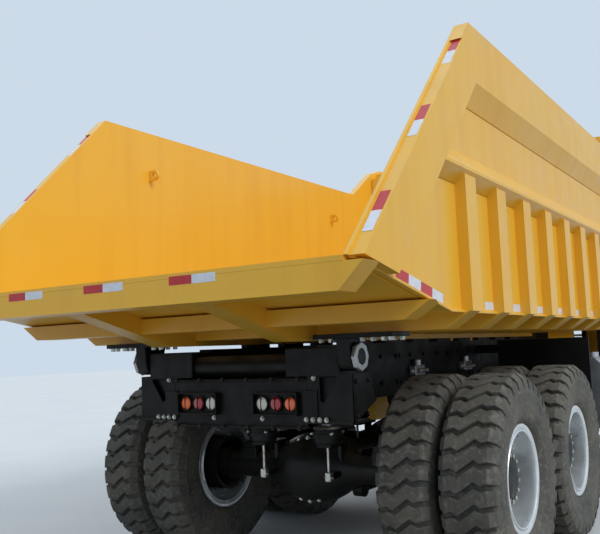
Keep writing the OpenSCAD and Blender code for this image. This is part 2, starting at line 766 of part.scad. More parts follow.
module bed_underframe() {
    color(paint) difference() {
        union() {
            both_sides() {
                // Sill: straight on the frame, then a wedge under the rising tail
                side_plate([[wall_low_y, sill_z], [wall_low_y, floor_z], [knee_y, floor_z],
                            [tail_y + 160, floor_low(tail_y + 160)], [tail_y + 160, floor_low(tail_y + 160) - 60],
                            [hinge_y - 230, sill_z]],
                           [sill_x - sill_w / 2, sill_x + sill_w / 2]);
            }
            for (y = concat(rib_ys, [wall_low_y - member_w])) cross_member(y);
            // Member under the tail, its top cut by the floor
            intersection() {
                cross_member(rib_y0 - rib_pitch);
                side_plate([[tail_y, 1600], [wall_y, 1600], [wall_y, floor_z], [knee_y, floor_z],
                            [tail_y, lip_top_z - floor_t]], [-side_x, side_x]);
            }
            // Lip beam
            along([[-side_x, lip_top_z - floor_t - 1], [side_x, lip_top_z - floor_t - 1],
                   [side_x - 130, lip_top_z - lip_h], [-side_x + 130, lip_top_z - lip_h]], [tail_y, tail_y + 160]);
        }
        side_plate([[tail_y - 1, lip_top_z - floor_t], [knee_y, floor_z], [wall_y + 1, floor_z],
                    [wall_y + 1, floor_z + 400], [tail_y - 1, floor_z + 400]], [-inner_x, inner_x]);
        both_sides() side_plate(wall_outline, [inner_x, side_x + 1]);
    }
}

front_wall_t = 90;

// A strip of the front wall from z0 to z1, between two depths behind its front face
module wall_strip(x, z0, z1, deep) {
    side_plate([[front_at(z0) - deep[0], z0], [front_at(z0) - deep[1], z0],
                [front_at(z1) - deep[1], z1], [front_at(z1) - deep[0], z1]], x);
}

module bed_front_wall() {
    low = floor_z + floor_t;
    stiff = [front_wall_t - plate_t + 1, 0];
    color(paint) union() {
        wall_strip([-inner_x, inner_x], low, rail_top_z, [front_wall_t, front_wall_t - plate_t]);
        for (i = [-3:3]) wall_strip([i * 420 - 60, i * 420 + 60], low, rail_top_z, stiff);
        for (z = [low, 2500, rail_top_z - 120]) wall_strip([-inner_x, inner_x], z, z + 120, stiff);
        // Ears that stand on either side of the hoist's eye
        both_sides() {
            side_plate([[front_at(hoist_top_z - 260) - 1, hoist_top_z - 260], [hoist_y + 40, hoist_top_z - 70],
                        [hoist_y + 80, hoist_top_z + 20], [hoist_y, hoist_top_z + 90],
                        [front_at(hoist_top_z + 170) - 1, hoist_top_z + 170]],
                       [eye_half + move_gap, eye_half + move_gap + 40]);
            cross_bar([eye_half + move_gap, eye_half + move_gap + 70], hoist_y, hoist_top_z, 80);
        }
    }
}

eye_half = 90;

canopy_low_z = 3800;

module bed_canopy() {
    rise_y = wall_y - 620;
    color(paint) union() {
        block([-side_x, side_x], [wall_y - 90, canopy_y], [canopy_low_z, canopy_low_z + plate_t]);
        // Riser from the front wall's top to the canopy
        block([-inner_x, inner_x], [wall_y - front_wall_t, wall_y - front_wall_t + plate_t],
              [rail_top_z, canopy_low_z + 1]);
        both_sides() {
            // Side flange rises from the rail
            side_plate([[rise_y, rail_top_z], [wall_y, rail_top_z], [wall_y + 260, canopy_low_z - 60],
                        [canopy_y, canopy_low_z - 60], [canopy_y, canopy_top_z], [wall_y + 180, canopy_top_z],
                        [wall_y - 80, canopy_top_z - 80]], [side_x - 90, side_x - 6]);
        }
        for (i = [0:4])
            block([-side_x + 50, side_x - 50], [wall_y + 60 + i * 530, wall_y + 160 + i * 530],
                  [canopy_low_z + plate_t - 1, canopy_low_z + 110]);
    }
}

module bed_hinges() {
    ear = [hinge_ear_x - hinge_ear_t / 2, hinge_ear_x + hinge_ear_t / 2];
    color(steel_black) both_sides() difference() {
        union() {
            block([ear[0] - 60, ear[1] + 30], [hinge_y - 120, hinge_y + 140], [sill_z + 6, sill_z + 36]);
            side_plate([[hinge_y - 110, sill_z + 7], [hinge_y + 130, sill_z + 7], [hinge_y + 80, hinge_z - 40],
                        [hinge_y + 40, hinge_z - 85], [hinge_y - 40, hinge_z - 85], [hinge_y - 80, hinge_z - 40]],
                       ear);
        }
        cross_bar([ear[0] - 1, ear[1] + 1], hinge_y, hinge_z, 2 * (hinge_pin_r + run_gap));
    }
}

module bed_pads() {
    color(rubber) both_sides() for (y = [rear_axle_y - 250:500:wall_low_y - 300])
        block([sill_x - 60, min(sill_x + 60, frame_half_w)], [y, y + 300], [frame_top_z + 0.3, sill_z]);
}

// Hoist: an upright telescope

eye_z = hoist_top_z;
barrel_low = hoist_low_z + 100;
barrel_top = hoist_top_z - 200;

module hoist_barrel() {
    color("#303438") translate([0, hoist_y, 0]) union() {
        difference() {
            translate([0, 0, hoist_low_z - 60]) cylinder(d = barrel_d, h = barrel_top - hoist_low_z + 60);
            translate([0, 0, barrel_low]) cylinder(d = barrel_d - stage_step + 2 * run_gap, h = barrel_top);
        }
        cross_bar([-trunnion_ear_x - 40, trunnion_ear_x + 40], 0, hoist_low_z, 2 * hoist_pin_r);
    }
}

module stage(n, low, top) {
    outer = barrel_d - n * stage_step;
    translate([0, hoist_y, 0]) difference() {
        translate([0, 0, low]) cylinder(d = outer, h = top - low);
        translate([0, 0, low + 30]) cylinder(d = outer - stage_step + 2 * run_gap, h = top - low);
    }
}

module hoist_stage_1() { color(silver) stage(1, barrel_low + 10, barrel_top + 15); }
module hoist_stage_2() { color(silver) stage(2, barrel_low + 50, barrel_top + 30); }

module hoist_stage_3() {
    outer = barrel_d - 3 * stage_step;
    color(silver) translate([0, hoist_y, 0]) difference() {
        union() {
            translate([0, 0, barrel_low + 90]) cylinder(d = outer, h = eye_z - barrel_low - 90);
            cross_bar([-eye_half, eye_half], 0, eye_z, 150);
        }
        cross_bar([-eye_half - 1, eye_half + 1], 0, eye_z, 80);
    }
}

// Cab

cab_floor_z = deck_z;
screen_z = 2480;
screen_back = 170;
door_y = [cab_y1 - 1150, cab_y1 - 200];
door_z = [cab_floor_z + 60, cab_roof_z - 130];
window_z = [2560, cab_roof_z - 190];

// Cab side outline, drawn in by the inset
function cab_outline(inset) = [
    [cab_y0 + inset, cab_floor_z + inset], [cab_y1 - inset, cab_floor_z + inset], [cab_y1 - inset, screen_z],
    [cab_y1 - screen_back - inset, cab_roof_z - inset], [cab_y0 + inset, cab_roof_z - inset]
];

module cab_shell() {
    hinge_x = -cab_left_x - 16;
    color(paint) difference() {
        union() {
            difference() {
                side_plate(cab_outline(0), [-cab_left_x, -cab_right_x]);
                side_plate(cab_outline(cab_t), [-cab_left_x + cab_t, -cab_right_x - cab_t]);
            }
            // Hinge leaves and pins of the door
            for (z = door_hinge_zs) {
                translate([hinge_x, door_y[1] + 2.5, z - 60]) cylinder(r = 7, h = 120);
                for (s = [-1, 1])
                    block([hinge_x - 12, -cab_left_x + 1], [door_y[1] + 8, door_y[1] + 40],
                          s < 0 ? [z - 60, z - 46] : [z + 46, z + 60]);
                for (s = [-1, 1])
                    block([hinge_x - 12, hinge_x + 12], [door_y[1] - 8, door_y[1] + 9],
                          s < 0 ? [z - 60, z - 46] : [z + 46, z + 60]);
            }
        }
        // Door opening
        block([-cab_left_x - 1, -cab_left_x + cab_t + 1], [door_y[0] - 5, door_y[1] + 5],
              [door_z[0] - 5, door_z[1] + 5]);
        // Windscreen
        block([-cab_left_x + 90, -cab_right_x - 90], [cab_y1 - screen_back - 200, cab_y1 + 1],
              [screen_z + 60, cab_roof_z - 110]);
        // Right side window
        block([-cab_right_x - cab_t - 1, -cab_right_x + 1], [cab_y0 + 300, cab_y1 - 330], window_z);
        // Rear window
        block([-cab_left_x + 150, -cab_right_x - 150], [cab_y0 - 1, cab_y0 + cab_t + 1], window_z);
        // Rear quarter window on the left
        block([-cab_left_x - 1, -cab_left_x + cab_t + 1], [cab_y0 + 130, door_y[0] - 90], window_z);
    }
}

door_hinge_zs = [cab_floor_z + 350, cab_roof_z - 400];
glass_gap = 0.3;

module pane(x, y, z) {
    block([x[0] + glass_gap, x[1] - glass_gap], [y[0] + glass_gap, y[1] - glass_gap],
          [z[0] + glass_gap, z[1] - glass_gap]);
}

module cab_glass() {
    lean = screen_back / (cab_roof_z - screen_z);
    z0 = screen_z + 60 + glass_gap;
    z1 = cab_roof_z - 110 - glass_gap;
    color(glass_tint, 0.5) {
        side_plate([[cab_y1 - (z0 - screen_z) * lean - 12, z0], [cab_y1 - (z0 - screen_z) * lean - 4, z0],
                    [cab_y1 - (z1 - screen_z) * lean - 4, z1], [cab_y1 - (z1 - screen_z) * lean - 12, z1]],
                   [-cab_left_x + 90 + glass_gap, -cab_right_x - 90 - glass_gap]);
        translate([-cab_right_x - 14, 0, 0]) pane_x(cab_y0 + 300, cab_y1 - 330);
        translate([-cab_left_x + 8, 0, 0]) pane_x(cab_y0 + 130, door_y[0] - 90);
        block([-cab_left_x + 150 + glass_gap, -cab_right_x - 150 - glass_gap], [cab_y0 + 8, cab_y0 + 14],
              [window_z[0] + glass_gap, window_z[1] - glass_gap]);
    }
}

module pane_x(y0, y1) {
    block([0, 6], [y0 + glass_gap, y1 - glass_gap], [window_z[0] + glass_gap, window_z[1] - glass_gap]);
}

door_window_z = [2480, door_z[1] - 70];

module cab_door() {
    hinge_x = -cab_left_x - 16;
    color(paint) difference() {
        union() {
            block([-cab_left_x, -cab_left_x + cab_t], door_y, door_z);
            for (z = door_hinge_zs) {
                translate([hinge_x, door_y[1] + 2.5, z - 40]) cylinder(r = 13, h = 80);
                block([hinge_x - 3, -cab_left_x + 1], [door_y[1] - 60, door_y[1] - 2], [z - 40, z + 40]);
            }
        }
        block([-cab_left_x - 1, -cab_left_x + cab_t + 1], [door_y[0] + 80, door_y[1] - 80], door_window_z);
        for (z = door_hinge_zs)
            translate([hinge_x, door_y[1] + 2.5, z - 41]) cylinder(r = 7 + run_gap, h = 82);
    }
}

module door_glass() {
    color(glass_tint, 0.5) block([-cab_left_x + 14, -cab_left_x + 20],
                                 [door_y[0] + 80 + glass_gap, door_y[1] - 80 - glass_gap],
                                 [door_window_z[0] + glass_gap, door_window_z[1] - glass_gap]);
}

seat_x = -(cab_left_x + cab_right_x) / 2;
seat_y = cab_y0 + 640;

module seat() {
    z = cab_floor_z + cab_t;
    color("#2a2c30") union() {
        block([seat_x - 180, seat_x + 180], [seat_y - 200, seat_y + 160], [z, z + 320]);
        block([seat_x - 250, seat_x + 250], [seat_y - 260, seat_y + 240], [z + 319, z + 440]);
        translate([seat_x, seat_y - 200, z + 430]) rotate([8, 0, 0])
            translate([-240, -60, 0]) cube([480, 110, 640]);
        translate([seat_x, seat_y - 270, z + 1060]) rotate([8, 0, 0])
            translate([-140, -50, 0]) cube([280, 90, 180]);
    }
}

module dashboard() {
    z = cab_floor_z + cab_t;
    wheel_at = [seat_x, cab_y1 - 560, z + 800];
    color("#2a2c30") union() {
        side_plate([[cab_y1 - cab_t, z], [cab_y1 - cab_t, z + 680], [cab_y1 - 330, z + 650], [cab_y1 - 400, z + 560],
                    [cab_y1 - 230, z + 300], [cab_y1 - 230, z]],
                   [-cab_left_x + cab_t + 5, -cab_right_x - cab_t - 5]);
        bar([seat_x, cab_y1 - 240, z + 420], wheel_at, 60);
        translate(wheel_at) rotate([35, 0, 0]) {
            rotate_extrude() translate([215, 0]) circle(r = 16, $fn = 24);
            translate([0, 0, -20]) cylinder(r = 50, h = 36);
            for (a = [90, 210, 330]) rotate([0, 0, a]) translate([30, -18, -7]) cube([182, 36, 14]);
        }
    }
}

hood_x = 560;
deck_x = 1600;
deck_y = [cab_y0 - 40, nose_y - 40];

module deck() {
    color(paint) difference() {
        block([-deck_x, deck_x], deck_y, [deck_z - deck_t, deck_z]);
        block([-450, 450], [engine_y[0] - 40, grille_y - 100], [deck_z - deck_t - 1, deck_z + 1]);
        block([-480, 480], [deck_y[0] - 1, engine_y[0] - 41], [deck_z - deck_t - 1, deck_z + 1]);
        block([-grille_x, grille_x], [grille_y - 60, nose_y], [deck_z - deck_t - 1, deck_z + 1]);
    }
    // Fascia panels under the deck's front edge, and brackets from the rails
    color(paint) both_sides() {
        block([grille_x, bumper_x], [grille_y - 30, grille_y], [bumper_z[1], deck_z - deck_t]);
        block([frame_half_w, frame_half_w + 300], [cab_y0, cab_y0 + 60], [frame_top_z - 100, deck_z - deck_t]);
    }
}

hood_z = 2200;

module engine_hood() {
    t = 25;
    right = hood_x;
    left = -cab_right_x + 15;
    color(paint) difference() {
        block([left, right], [engine_y[0] - 40, grille_y - 60], [deck_z, hood_z]);
        block([left + t, right - t], [engine_y[0] - 40 + t, grille_y - 60 - t], [deck_z - 1, hood_z - t]);
        for (i = [0:7])
            block([left + 150, right - 150], [engine_y[0] + 100 + i * 70, engine_y[0] + 135 + i * 70],
                  [hood_z - t - 1, hood_z + 1]);
    }
}

rail_d = 40;
rail_h = 1000;

module handrails() {
    // Posts of the right-hand deck: [x, y]
    posts = [[deck_x - 40, deck_y[0] + 60], [deck_x - 40, (deck_y[0] + deck_y[1]) / 2], [deck_x - 40, deck_y[1] - 60],
             [1000, deck_y[1] - 60], [620, deck_y[1] - 60]];
    color(steel_black) union() {
        for (p = posts) translate([p[0], p[1], deck_z]) cylinder(d = rail_d, h = rail_h);
        for (i = [0:len(posts) - 2]) for (h = [rail_h - rail_d / 2, rail_h / 2])
            bar([posts[i][0], posts[i][1], deck_z + h], [posts[i + 1][0], posts[i + 1][1], deck_z + h], rail_d);
    }
    color(steel_black) union() {
        for (x = [-1560, -1100, -620]) translate([x, deck_y[1] - 60, deck_z]) cylinder(d = rail_d, h = rail_h);
        for (h = [rail_h - rail_d / 2, rail_h / 2])
            cross_bar([-1560, -620], deck_y[1] - 60, deck_z + h, rail_d);
    }
}

ladder_y = [nose_y - 640, nose_y - 380];
ladder_z = 480;

module ladder() {
    color(steel_black) union() {
        for (y = ladder_y)
            block([-deck_x, -deck_x + 60], [y - 8, y + 8], [ladder_z, deck_z - deck_t]);
        for (i = [0:3])
            block([-deck_x, -deck_x + 180], [ladder_y[0], ladder_y[1]],
                  [ladder_z + 40 + i * 320, ladder_z + 65 + i * 320]);
    }
}

module mirrors() {
    color(steel_black) for (s = [-1, 1]) union() {
        arm_z = deck_z + rail_h - 120;
        reach = [deck_x - 40 + rail_d / 2 + 0.3, 1760];
        cross_bar(s > 0 ? reach : [-reach[1], -reach[0]], deck_y[1] - 60, arm_z, 30);
        bar([s * reach[1], deck_y[1] - 60, arm_z - 150], [s * reach[1], deck_y[1] - 60, deck_z + 1250], 30);
        block(s > 0 ? [1650, 1870] : [-1870, -1650], [deck_y[1] - 46, deck_y[1]], [deck_z + 760, deck_z + 1180]);
    }
}

module air_cleaners() {
    color("#2b2d30") for (y = [cab_y0 + 300, cab_y0 + 800]) union() {
        translate([1150, y, deck_z]) cylinder(d = 340, h = 620);
        translate([1150, y, deck_z + 619]) cylinder(d = 150, h = 200);
        translate([1150, y, deck_z + 780]) cylinder(d = 300, h = 90);
    }
}

module exhaust() {
    z = frame_low_z + 180;
    color("#5b5a57") union() {
        translate([frame_half_w + 230, cab_y0 - 900, z]) rotate([-90, 0, 0]) cylinder(d = 320, h = 720);
        bar([frame_half_w + 230, cab_y0 - 890, z], [frame_half_w + 230, cab_y0 - 1100, z], 130);
        for (y = [cab_y0 - 780, cab_y0 - 420])
            block([frame_half_w, frame_half_w + 120], [y, y + 60], [z - 60, z + 60]);
    }
}

tank_y = [mid_axle_y + 1150, front_axle_y - 900];

module fuel_tank() {
    color("#8d9296") union() {
        along([[880, 800], [940, 740], [1500, 740], [1560, 800], [1560, 1330], [1500, 1390], [940, 1390], [880, 1330]],
              [tank_y[0], tank_y[0] + 800]);
        for (y = [tank_y[0] + 150, tank_y[0] + 600])
            block([frame_half_w, 900], [y, y + 80], [frame_low_z + 20, frame_low_z + 120]);
        translate([1400, tank_y[0] + 400, 1389]) cylinder(d = 110, h = 50);
    }
}

module hydraulic_tank() {
    color(paint) union() {
        block([-1560, -900], [tank_y[0] + 100, tank_y[0] + 700], [760, 1400]);
        for (y = [tank_y[0] + 200, tank_y[0] + 560])
            block([-901, -frame_half_w], [y, y + 80], [frame_low_z + 20, frame_low_z + 120]);
        translate([-1200, tank_y[0] + 400, 1399]) cylinder(d = 130, h = 60);
    }
}

module battery_box() {
    color(steel_black) union() {
        block([-1500, -880], [tank_y[0] + 790, tank_y[1]], [900, 1330]);
        block([-881, -frame_half_w], [tank_y[0] + 900, tank_y[0] + 1000], [frame_low_z + 20, frame_low_z + 120]);
    }
}

module air_tanks() {
    color(steel_black) for (i = [0, 1]) union() {
        z = frame_low_z - 150 + i * 10;
        translate([i * 330 - 165, tank_y[0] + 60, z]) rotate([-90, 0, 0]) cylinder(d = 240, h = 640);
        for (y = [tank_y[0] + 150, tank_y[0] + 520])
            block(i > 0 ? [230, frame_half_w - 20] : [-frame_half_w + 20, -230], [y, y + 60], [z, frame_low_z]);
    }
}

module mudguards() {
    color(steel_black) both_sides() {
        // Arch over the steered wheel
        difference() {
            block([kingpin_x + 70, deck_x], [front_axle_y - 760, front_axle_y + 760],
                  [axle_z + 520, deck_z - deck_t]);
            cross_bar([kingpin_x, deck_x + 1], front_axle_y, axle_z, 2 * arch_r);
            block([kingpin_x + 80, deck_x - 10], [front_axle_y - 750, front_axle_y + 750],
                  [axle_z + arch_r + 12, deck_z - deck_t + 1]);
        }
        // Plate ahead of the drive wheels
        block([690, 1535], [mid_axle_y + 800, mid_axle_y + 812], [1010, 1590]);
        block([frame_half_w, 691], [mid_axle_y + 800, mid_axle_y + 840], [frame_top_z - 130, frame_top_z - 50]);
    }
}

chassis_frame();
tail_frame();
lamps();
front_bumper();
grille();
radiator();
engine();
driveline();
front_axle();
drive_axles();
leaf_springs();
torque_rods();
cab_shell();
cab_glass();
seat();
dashboard();
deck();
engine_hood();
handrails();
ladder();
mirrors();
air_cleaners();
exhaust();
fuel_tank();
hydraulic_tank();
battery_box();
air_tanks();
mudguards();
cab_door();
door_glass();
bed_floor();
bed_underframe();
bed_side_left();
bed_side_right();
bed_front_wall();
bed_canopy();
bed_hinges();
bed_pads();
hoist_barrel();
hoist_stage_1();
hoist_stage_2();
hoist_stage_3();
knuckle_left();
knuckle_right();
track_rod();
tyre_front_left();
rim_front_left();
tyre_front_right();
rim_front_right();
tyres_mid_left();
rims_mid_left();
tyres_mid_right();
rims_mid_right();
tyres_rear_left();
rims_rear_left();
tyres_rear_right();
rims_rear_right();
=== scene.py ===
# %% [markdown]
# # A wide-body mining dump truck
#
# The truck's steelwork comes from its CAD model, which is loaded here as a fixed frame: every panel,
# axle and hinge is already at its real place and size, in metres, with +Y forward and +X to the right.
# This lesson adds what makes it look real: a camera where the photographer stood, finishes for every
# surface, the cut tread of the tyres, lenses, reflectors, bolts and the other small fittings.

# %% Load the frame
import json
import math

import bpy
from mathutils import Matrix, Vector


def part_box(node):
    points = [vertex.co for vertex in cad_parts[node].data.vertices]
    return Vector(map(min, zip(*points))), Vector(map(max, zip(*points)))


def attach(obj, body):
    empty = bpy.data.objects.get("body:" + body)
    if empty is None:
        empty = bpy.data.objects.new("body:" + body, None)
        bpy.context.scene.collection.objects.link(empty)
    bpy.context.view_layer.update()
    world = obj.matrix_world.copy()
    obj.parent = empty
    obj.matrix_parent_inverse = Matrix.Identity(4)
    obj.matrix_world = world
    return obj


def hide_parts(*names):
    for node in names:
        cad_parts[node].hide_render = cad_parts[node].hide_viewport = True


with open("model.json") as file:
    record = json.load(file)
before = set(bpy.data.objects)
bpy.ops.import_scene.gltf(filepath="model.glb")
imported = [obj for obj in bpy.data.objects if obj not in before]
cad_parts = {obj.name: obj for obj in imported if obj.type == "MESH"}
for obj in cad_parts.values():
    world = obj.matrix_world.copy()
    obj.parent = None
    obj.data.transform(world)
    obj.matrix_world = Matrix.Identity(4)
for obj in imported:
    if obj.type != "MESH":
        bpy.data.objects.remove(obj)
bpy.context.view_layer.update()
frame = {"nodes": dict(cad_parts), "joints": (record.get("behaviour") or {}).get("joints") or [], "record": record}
nodes = frame["nodes"]
print("frame loaded:", len(nodes), "nodes")

# %% [markdown]
# The photographer stood behind the truck's right rear corner, a little below the height of the body's
# floor, and looked up and to the left. A camera can be aimed with Euler angles found by trial, or its
# axes can be worked out from the three turns that a tripod head makes: left, up and a slight roll.
# The second way is used here, because each number then says something about the photograph.

# %% Camera
camera_at = Vector((3.181, -7.432, 1.579))
turned_left = math.radians(32.776)
tilted_up = math.radians(6.037)
rolled = math.radians(-2.163)
focal_px = 774.08
frame_px = (600, 534)
sensor_mm = 36.0

ahead = Vector((-math.sin(turned_left) * math.cos(tilted_up),
                math.cos(turned_left) * math.cos(tilted_up), math.sin(tilted_up)))
level_right = ahead.cross(Vector((0, 0, 1))).normalized()
level_up = level_right.cross(ahead)
right = math.cos(rolled) * level_right + math.sin(rolled) * level_up
up = math.cos(rolled) * level_up - math.sin(rolled) * level_right
aim = Matrix((right, up, -ahead)).transposed()
bpy.ops.object.camera_add(location=camera_at, rotation=aim.to_euler())
camera = bpy.context.object
camera.data.sensor_fit = "HORIZONTAL"
camera.data.sensor_width = sensor_mm
camera.data.lens = focal_px * sensor_mm / frame_px[0]
bpy.context.scene.camera = camera
print("camera lens", round(camera.data.lens, 1), "mm")

# %% [markdown]
# A bright hazy sky lights the truck in the photograph, so shadows are wide and soft. The world gives
# most of the light, and one sun with a large disc stands in for the brighter part of the sky, above
# and to the right. Colours are shown as they are written, so the view transform is Standard.


# %% Colours, light and floor
def paint_colour(red, green, blue):
    """A colour given on a screen's scale, 0 to 255, as the linear values that Blender works in."""
    def linear(value):
        value = value / 255
        return value / 12.92 if value <= 0.04045 else ((value + 0.055) / 1.055) ** 2.4
    return (linear(red), linear(green), linear(blue), 1.0)


bpy.context.scene.view_settings.view_transform = "Standard"
sky = bpy.data.worlds.new("pale sky")
bpy.context.scene.world = sky
sky.use_nodes = True
haze = sky.node_tree.nodes["Background"]
haze.inputs["Color"].default_value = paint_colour(214, 229, 244)
haze.inputs["Strength"].default_value = 0.9


def soft_sun(name, strength, disc_degrees, toward):
    bpy.ops.object.light_add(type="SUN", location=-Vector(toward) * 20)
    sun = bpy.context.object
    sun.name = name
    sun.data.energy = strength
    sun.data.angle = math.radians(disc_degrees)
    sun.rotation_euler = Vector(toward).to_track_quat("-Z", "Y").to_euler()


soft_sun("bright sky", 1.45, 25, (-0.85, 0.20, -0.65))
soft_sun("sky behind", 0.5, 60, (0.5, -0.6, -0.6))

floor_half = 60.0
bpy.ops.mesh.primitive_plane_add(size=2 * floor_half, location=(0, 0, 0))
ground = bpy.context.object
ground.name = "floor"

# %% [markdown]
# Each finish is a small tree of nodes. The helpers below keep those trees short: they add one node,
# or one layer of noise, and wire it up. Patterns are read from Object coordinates, so they stay fixed
# to the metal when a part moves.


# %% Helpers for finishes
class Finish:
    """One material under construction, with its shader and its object coordinates."""

    def __init__(self, name, roughness, metallic=0.0):
        self.material = bpy.data.materials.new(name)
        self.material.use_nodes = True
        self.tree = self.material.node_tree
        self.shader = self.tree.nodes["Principled BSDF"]
        self.shader.inputs["Roughness"].default_value = roughness
        self.shader.inputs["Metallic"].default_value = metallic
        self.coords = self.add("ShaderNodeTexCoord").outputs["Object"]

    def add(self, kind, **settings):
        node = self.tree.nodes.new(kind)
        for key, value in settings.items():
            setattr(node, key, value)
        return node

    def join(self, source, target):
        self.tree.links.new(source, target)

    def stretch(self, scale):
        """Coordinates scaled on each axis, for streaks and brush marks."""
        mapping = self.add("ShaderNodeMapping")
        mapping.inputs["Scale"].default_value = scale
        self.join(self.coords, mapping.inputs["Vector"])
        return mapping.outputs["Vector"]

    def cut(self, value, low, high, top):
        """A soft mask that runs from 0 to top while a value goes from low to high."""
        node = self.add("ShaderNodeMapRange")
        node.inputs["From Min"].default_value = low
        node.inputs["From Max"].default_value = high
        node.inputs["To Max"].default_value = top
        self.join(value, node.inputs["Value"])
        return node.outputs["Result"]

    def noise(self, scale, detail=3.0, low=0.4, high=0.6, coords=None, top=1.0):
        """A mask of soft blots."""
        texture = self.add("ShaderNodeTexNoise")
        texture.inputs["Scale"].default_value = scale
        texture.inputs["Detail"].default_value = detail
        self.join(coords or self.coords, texture.inputs["Vector"])
        return self.cut(texture.outputs["Fac"], low, high, top)

    def facing_up(self, low, high, top):
        """A mask of the faces that look upward, where dust settles."""
        split = self.add("ShaderNodeSeparateXYZ")
        self.join(self.add("ShaderNodeNewGeometry").outputs["Normal"], split.inputs["Vector"])
        return self.cut(split.outputs["Z"], low, high, top)

    def both(self, operation, first, second):
        """Two masks made one: by MULTIPLY where both must hold, by MAXIMUM where either may."""
        node = self.add("ShaderNodeMath", operation=operation)
        self.join(first, node.inputs[0])
        self.join(second, node.inputs[1])
        return node.outputs[0]

    def blend(self, mask, under, over):
        """The over colour laid on the under colour where the mask is 1."""
        node = self.add("ShaderNodeMix", data_type="RGBA")
        self.join(mask, node.inputs[0])
        for socket, colour in ((node.inputs[6], under), (node.inputs[7], over)):
            if isinstance(colour, tuple):
                socket.default_value = colour
            else:
                self.join(colour, socket)
        return node.outputs[2]

    def rough_by(self, mask, low, high):
        node = self.add("ShaderNodeMapRange")
        node.inputs["To Min"].default_value = low
        node.inputs["To Max"].default_value = high
        self.join(mask, node.inputs["Value"])
        self.join(node.outputs["Result"], self.shader.inputs["Roughness"])

    def relief(self, height, depth_m, previous=None):
        bump = self.add("ShaderNodeBump")
        bump.inputs["Strength"].default_value = 1.0
        bump.inputs["Distance"].default_value = depth_m
        self.join(height, bump.inputs["Height"])
        if previous is not None:
            self.join(previous, bump.inputs["Normal"])
        self.join(bump.outputs["Normal"], self.shader.inputs["Normal"])
        return bump.outputs["Normal"]

    def colour(self, value):
        self.join(value, self.shader.inputs["Base Color"])
        return self.material


# %% [markdown]
# The body is sprayed with golden yellow enamel over welded plate. Sprayed plate is never quite flat:
# welding pulls it into long shallow waves, and the coat itself has a fine orange peel. Sun bleaches it
# unevenly, rain draws pale streaks down it, and dust lies on every face that looks up.


# %% Golden enamel
def golden_enamel():
    f = Finish("golden enamel", 0.36)
    fresh, bleached = paint_colour(237, 178, 42), paint_colour(240, 188, 66)
    streak, dust = paint_colour(222, 162, 50), paint_colour(224, 194, 130)
    base = f.blend(f.noise(0.7, 4, 0.3, 0.75, top=0.8), fresh, bleached)
    rain = f.noise(1.0, 5, 0.48, 0.72, f.stretch((7, 7, 0.5)), top=0.35)
    base = f.blend(rain, base, streak)
    settled = f.both("MULTIPLY", f.facing_up(0.35, 1.0, 0.5), f.noise(2.2, 6, 0.25, 0.7))
    base = f.blend(settled, base, dust)
    f.rough_by(f.noise(5, 4, 0.2, 0.8), 0.3, 0.5)
    waves = f.relief(f.noise(1.3, 1.5, 0.0, 1.0), 0.012)
    f.relief(f.noise(260, 1.5, 0.0, 1.0), 0.00025, waves)
    f.shader.inputs["Specular IOR Level"].default_value = 0.45
    f.shader.inputs["Coat Weight"].default_value = 0.12
    f.shader.inputs["Coat Roughness"].default_value = 0.15
    return f.colour(base)


# %% [markdown]
# The chassis is black enamel. It sits low behind the wheels, so a grey-brown film of road dust dulls
# it, thickest on the ledges. The axles and springs get the same treatment with grease on them. The
# chassis black is darker than real enamel. That is partly painted shade, standing in for the sky that
# the truck's surroundings block.


# %% Chassis blacks and cast iron
def chassis_black(name="chassis black", black=(10, 10, 9), film=0.15, gloss=0.42):
    f = Finish(name, gloss)
    f.shader.inputs["Specular IOR Level"].default_value = 0.22
    dust, grime = paint_colour(112, 103, 86), paint_colour(58, 53, 45)
    # The default black is darker than real enamel: partly painted shade for the sky that the surroundings block
    # from the tail.
    base = f.blend(f.noise(3.0, 6, 0.35, 0.75, top=film), paint_colour(*black), grime)
    ledges = f.both("MULTIPLY", f.facing_up(0.4, 1.0, 0.75), f.noise(6, 5, 0.3, 0.7))
    base = f.blend(ledges, base, dust)
    f.rough_by(f.noise(9, 4, 0.3, 0.8), gloss - 0.08, gloss + 0.25)
    f.relief(f.noise(180, 2, 0.0, 1.0), 0.0003)
    return f.colour(base)


def cast_iron():
    f = Finish("cast iron", 0.6, 0.5)
    base = f.blend(f.noise(4, 6, 0.35, 0.7), paint_colour(62, 62, 60), paint_colour(88, 78, 66))
    f.relief(f.noise(150, 3, 0.0, 1.0), 0.0006)
    return f.colour(base)


# %% [markdown]
# A mining tyre is never black for long. It takes the colour of the haul road in patches, keeps a thin
# brown film between them, and stones scuff it in small pale spots.


# %% Tyre rubber
def tyre_rubber():
    f = Finish("tyre rubber", 0.82)
    dark, worn = paint_colour(60, 59, 55), paint_colour(90, 88, 81)
    film, scuffed = paint_colour(108, 102, 88), paint_colour(140, 137, 128)
    base = f.blend(f.noise(6, 6, 0.3, 0.7), dark, worn)
    base = f.blend(f.noise(2.3, 5, 0.4, 0.7, top=0.6), base, film)
    base = f.blend(f.noise(34, 5, 0.52, 0.66, top=0.3), base, scuffed)
    f.relief(f.noise(120, 4, 0.0, 1.0), 0.0006)
    return f.colour(base)


def plain_rubber():
    f = Finish("plain rubber", 0.75)
    f.relief(f.noise(200, 3, 0.0, 1.0), 0.0004)
    clean, dusty = paint_colour(34, 34, 33), paint_colour(70, 66, 58)
    return f.colour(f.blend(f.noise(8, 4, 0.35, 0.7), clean, dusty))


# %% [markdown]
# Rims are sprayed with aluminium paint, which glints but doesn't mirror. Chrome is for the hoist's
# stages, whose oil film keeps them clean. Glass is a thin tinted pane, so it is made see-through with
# the shader's own transmission.


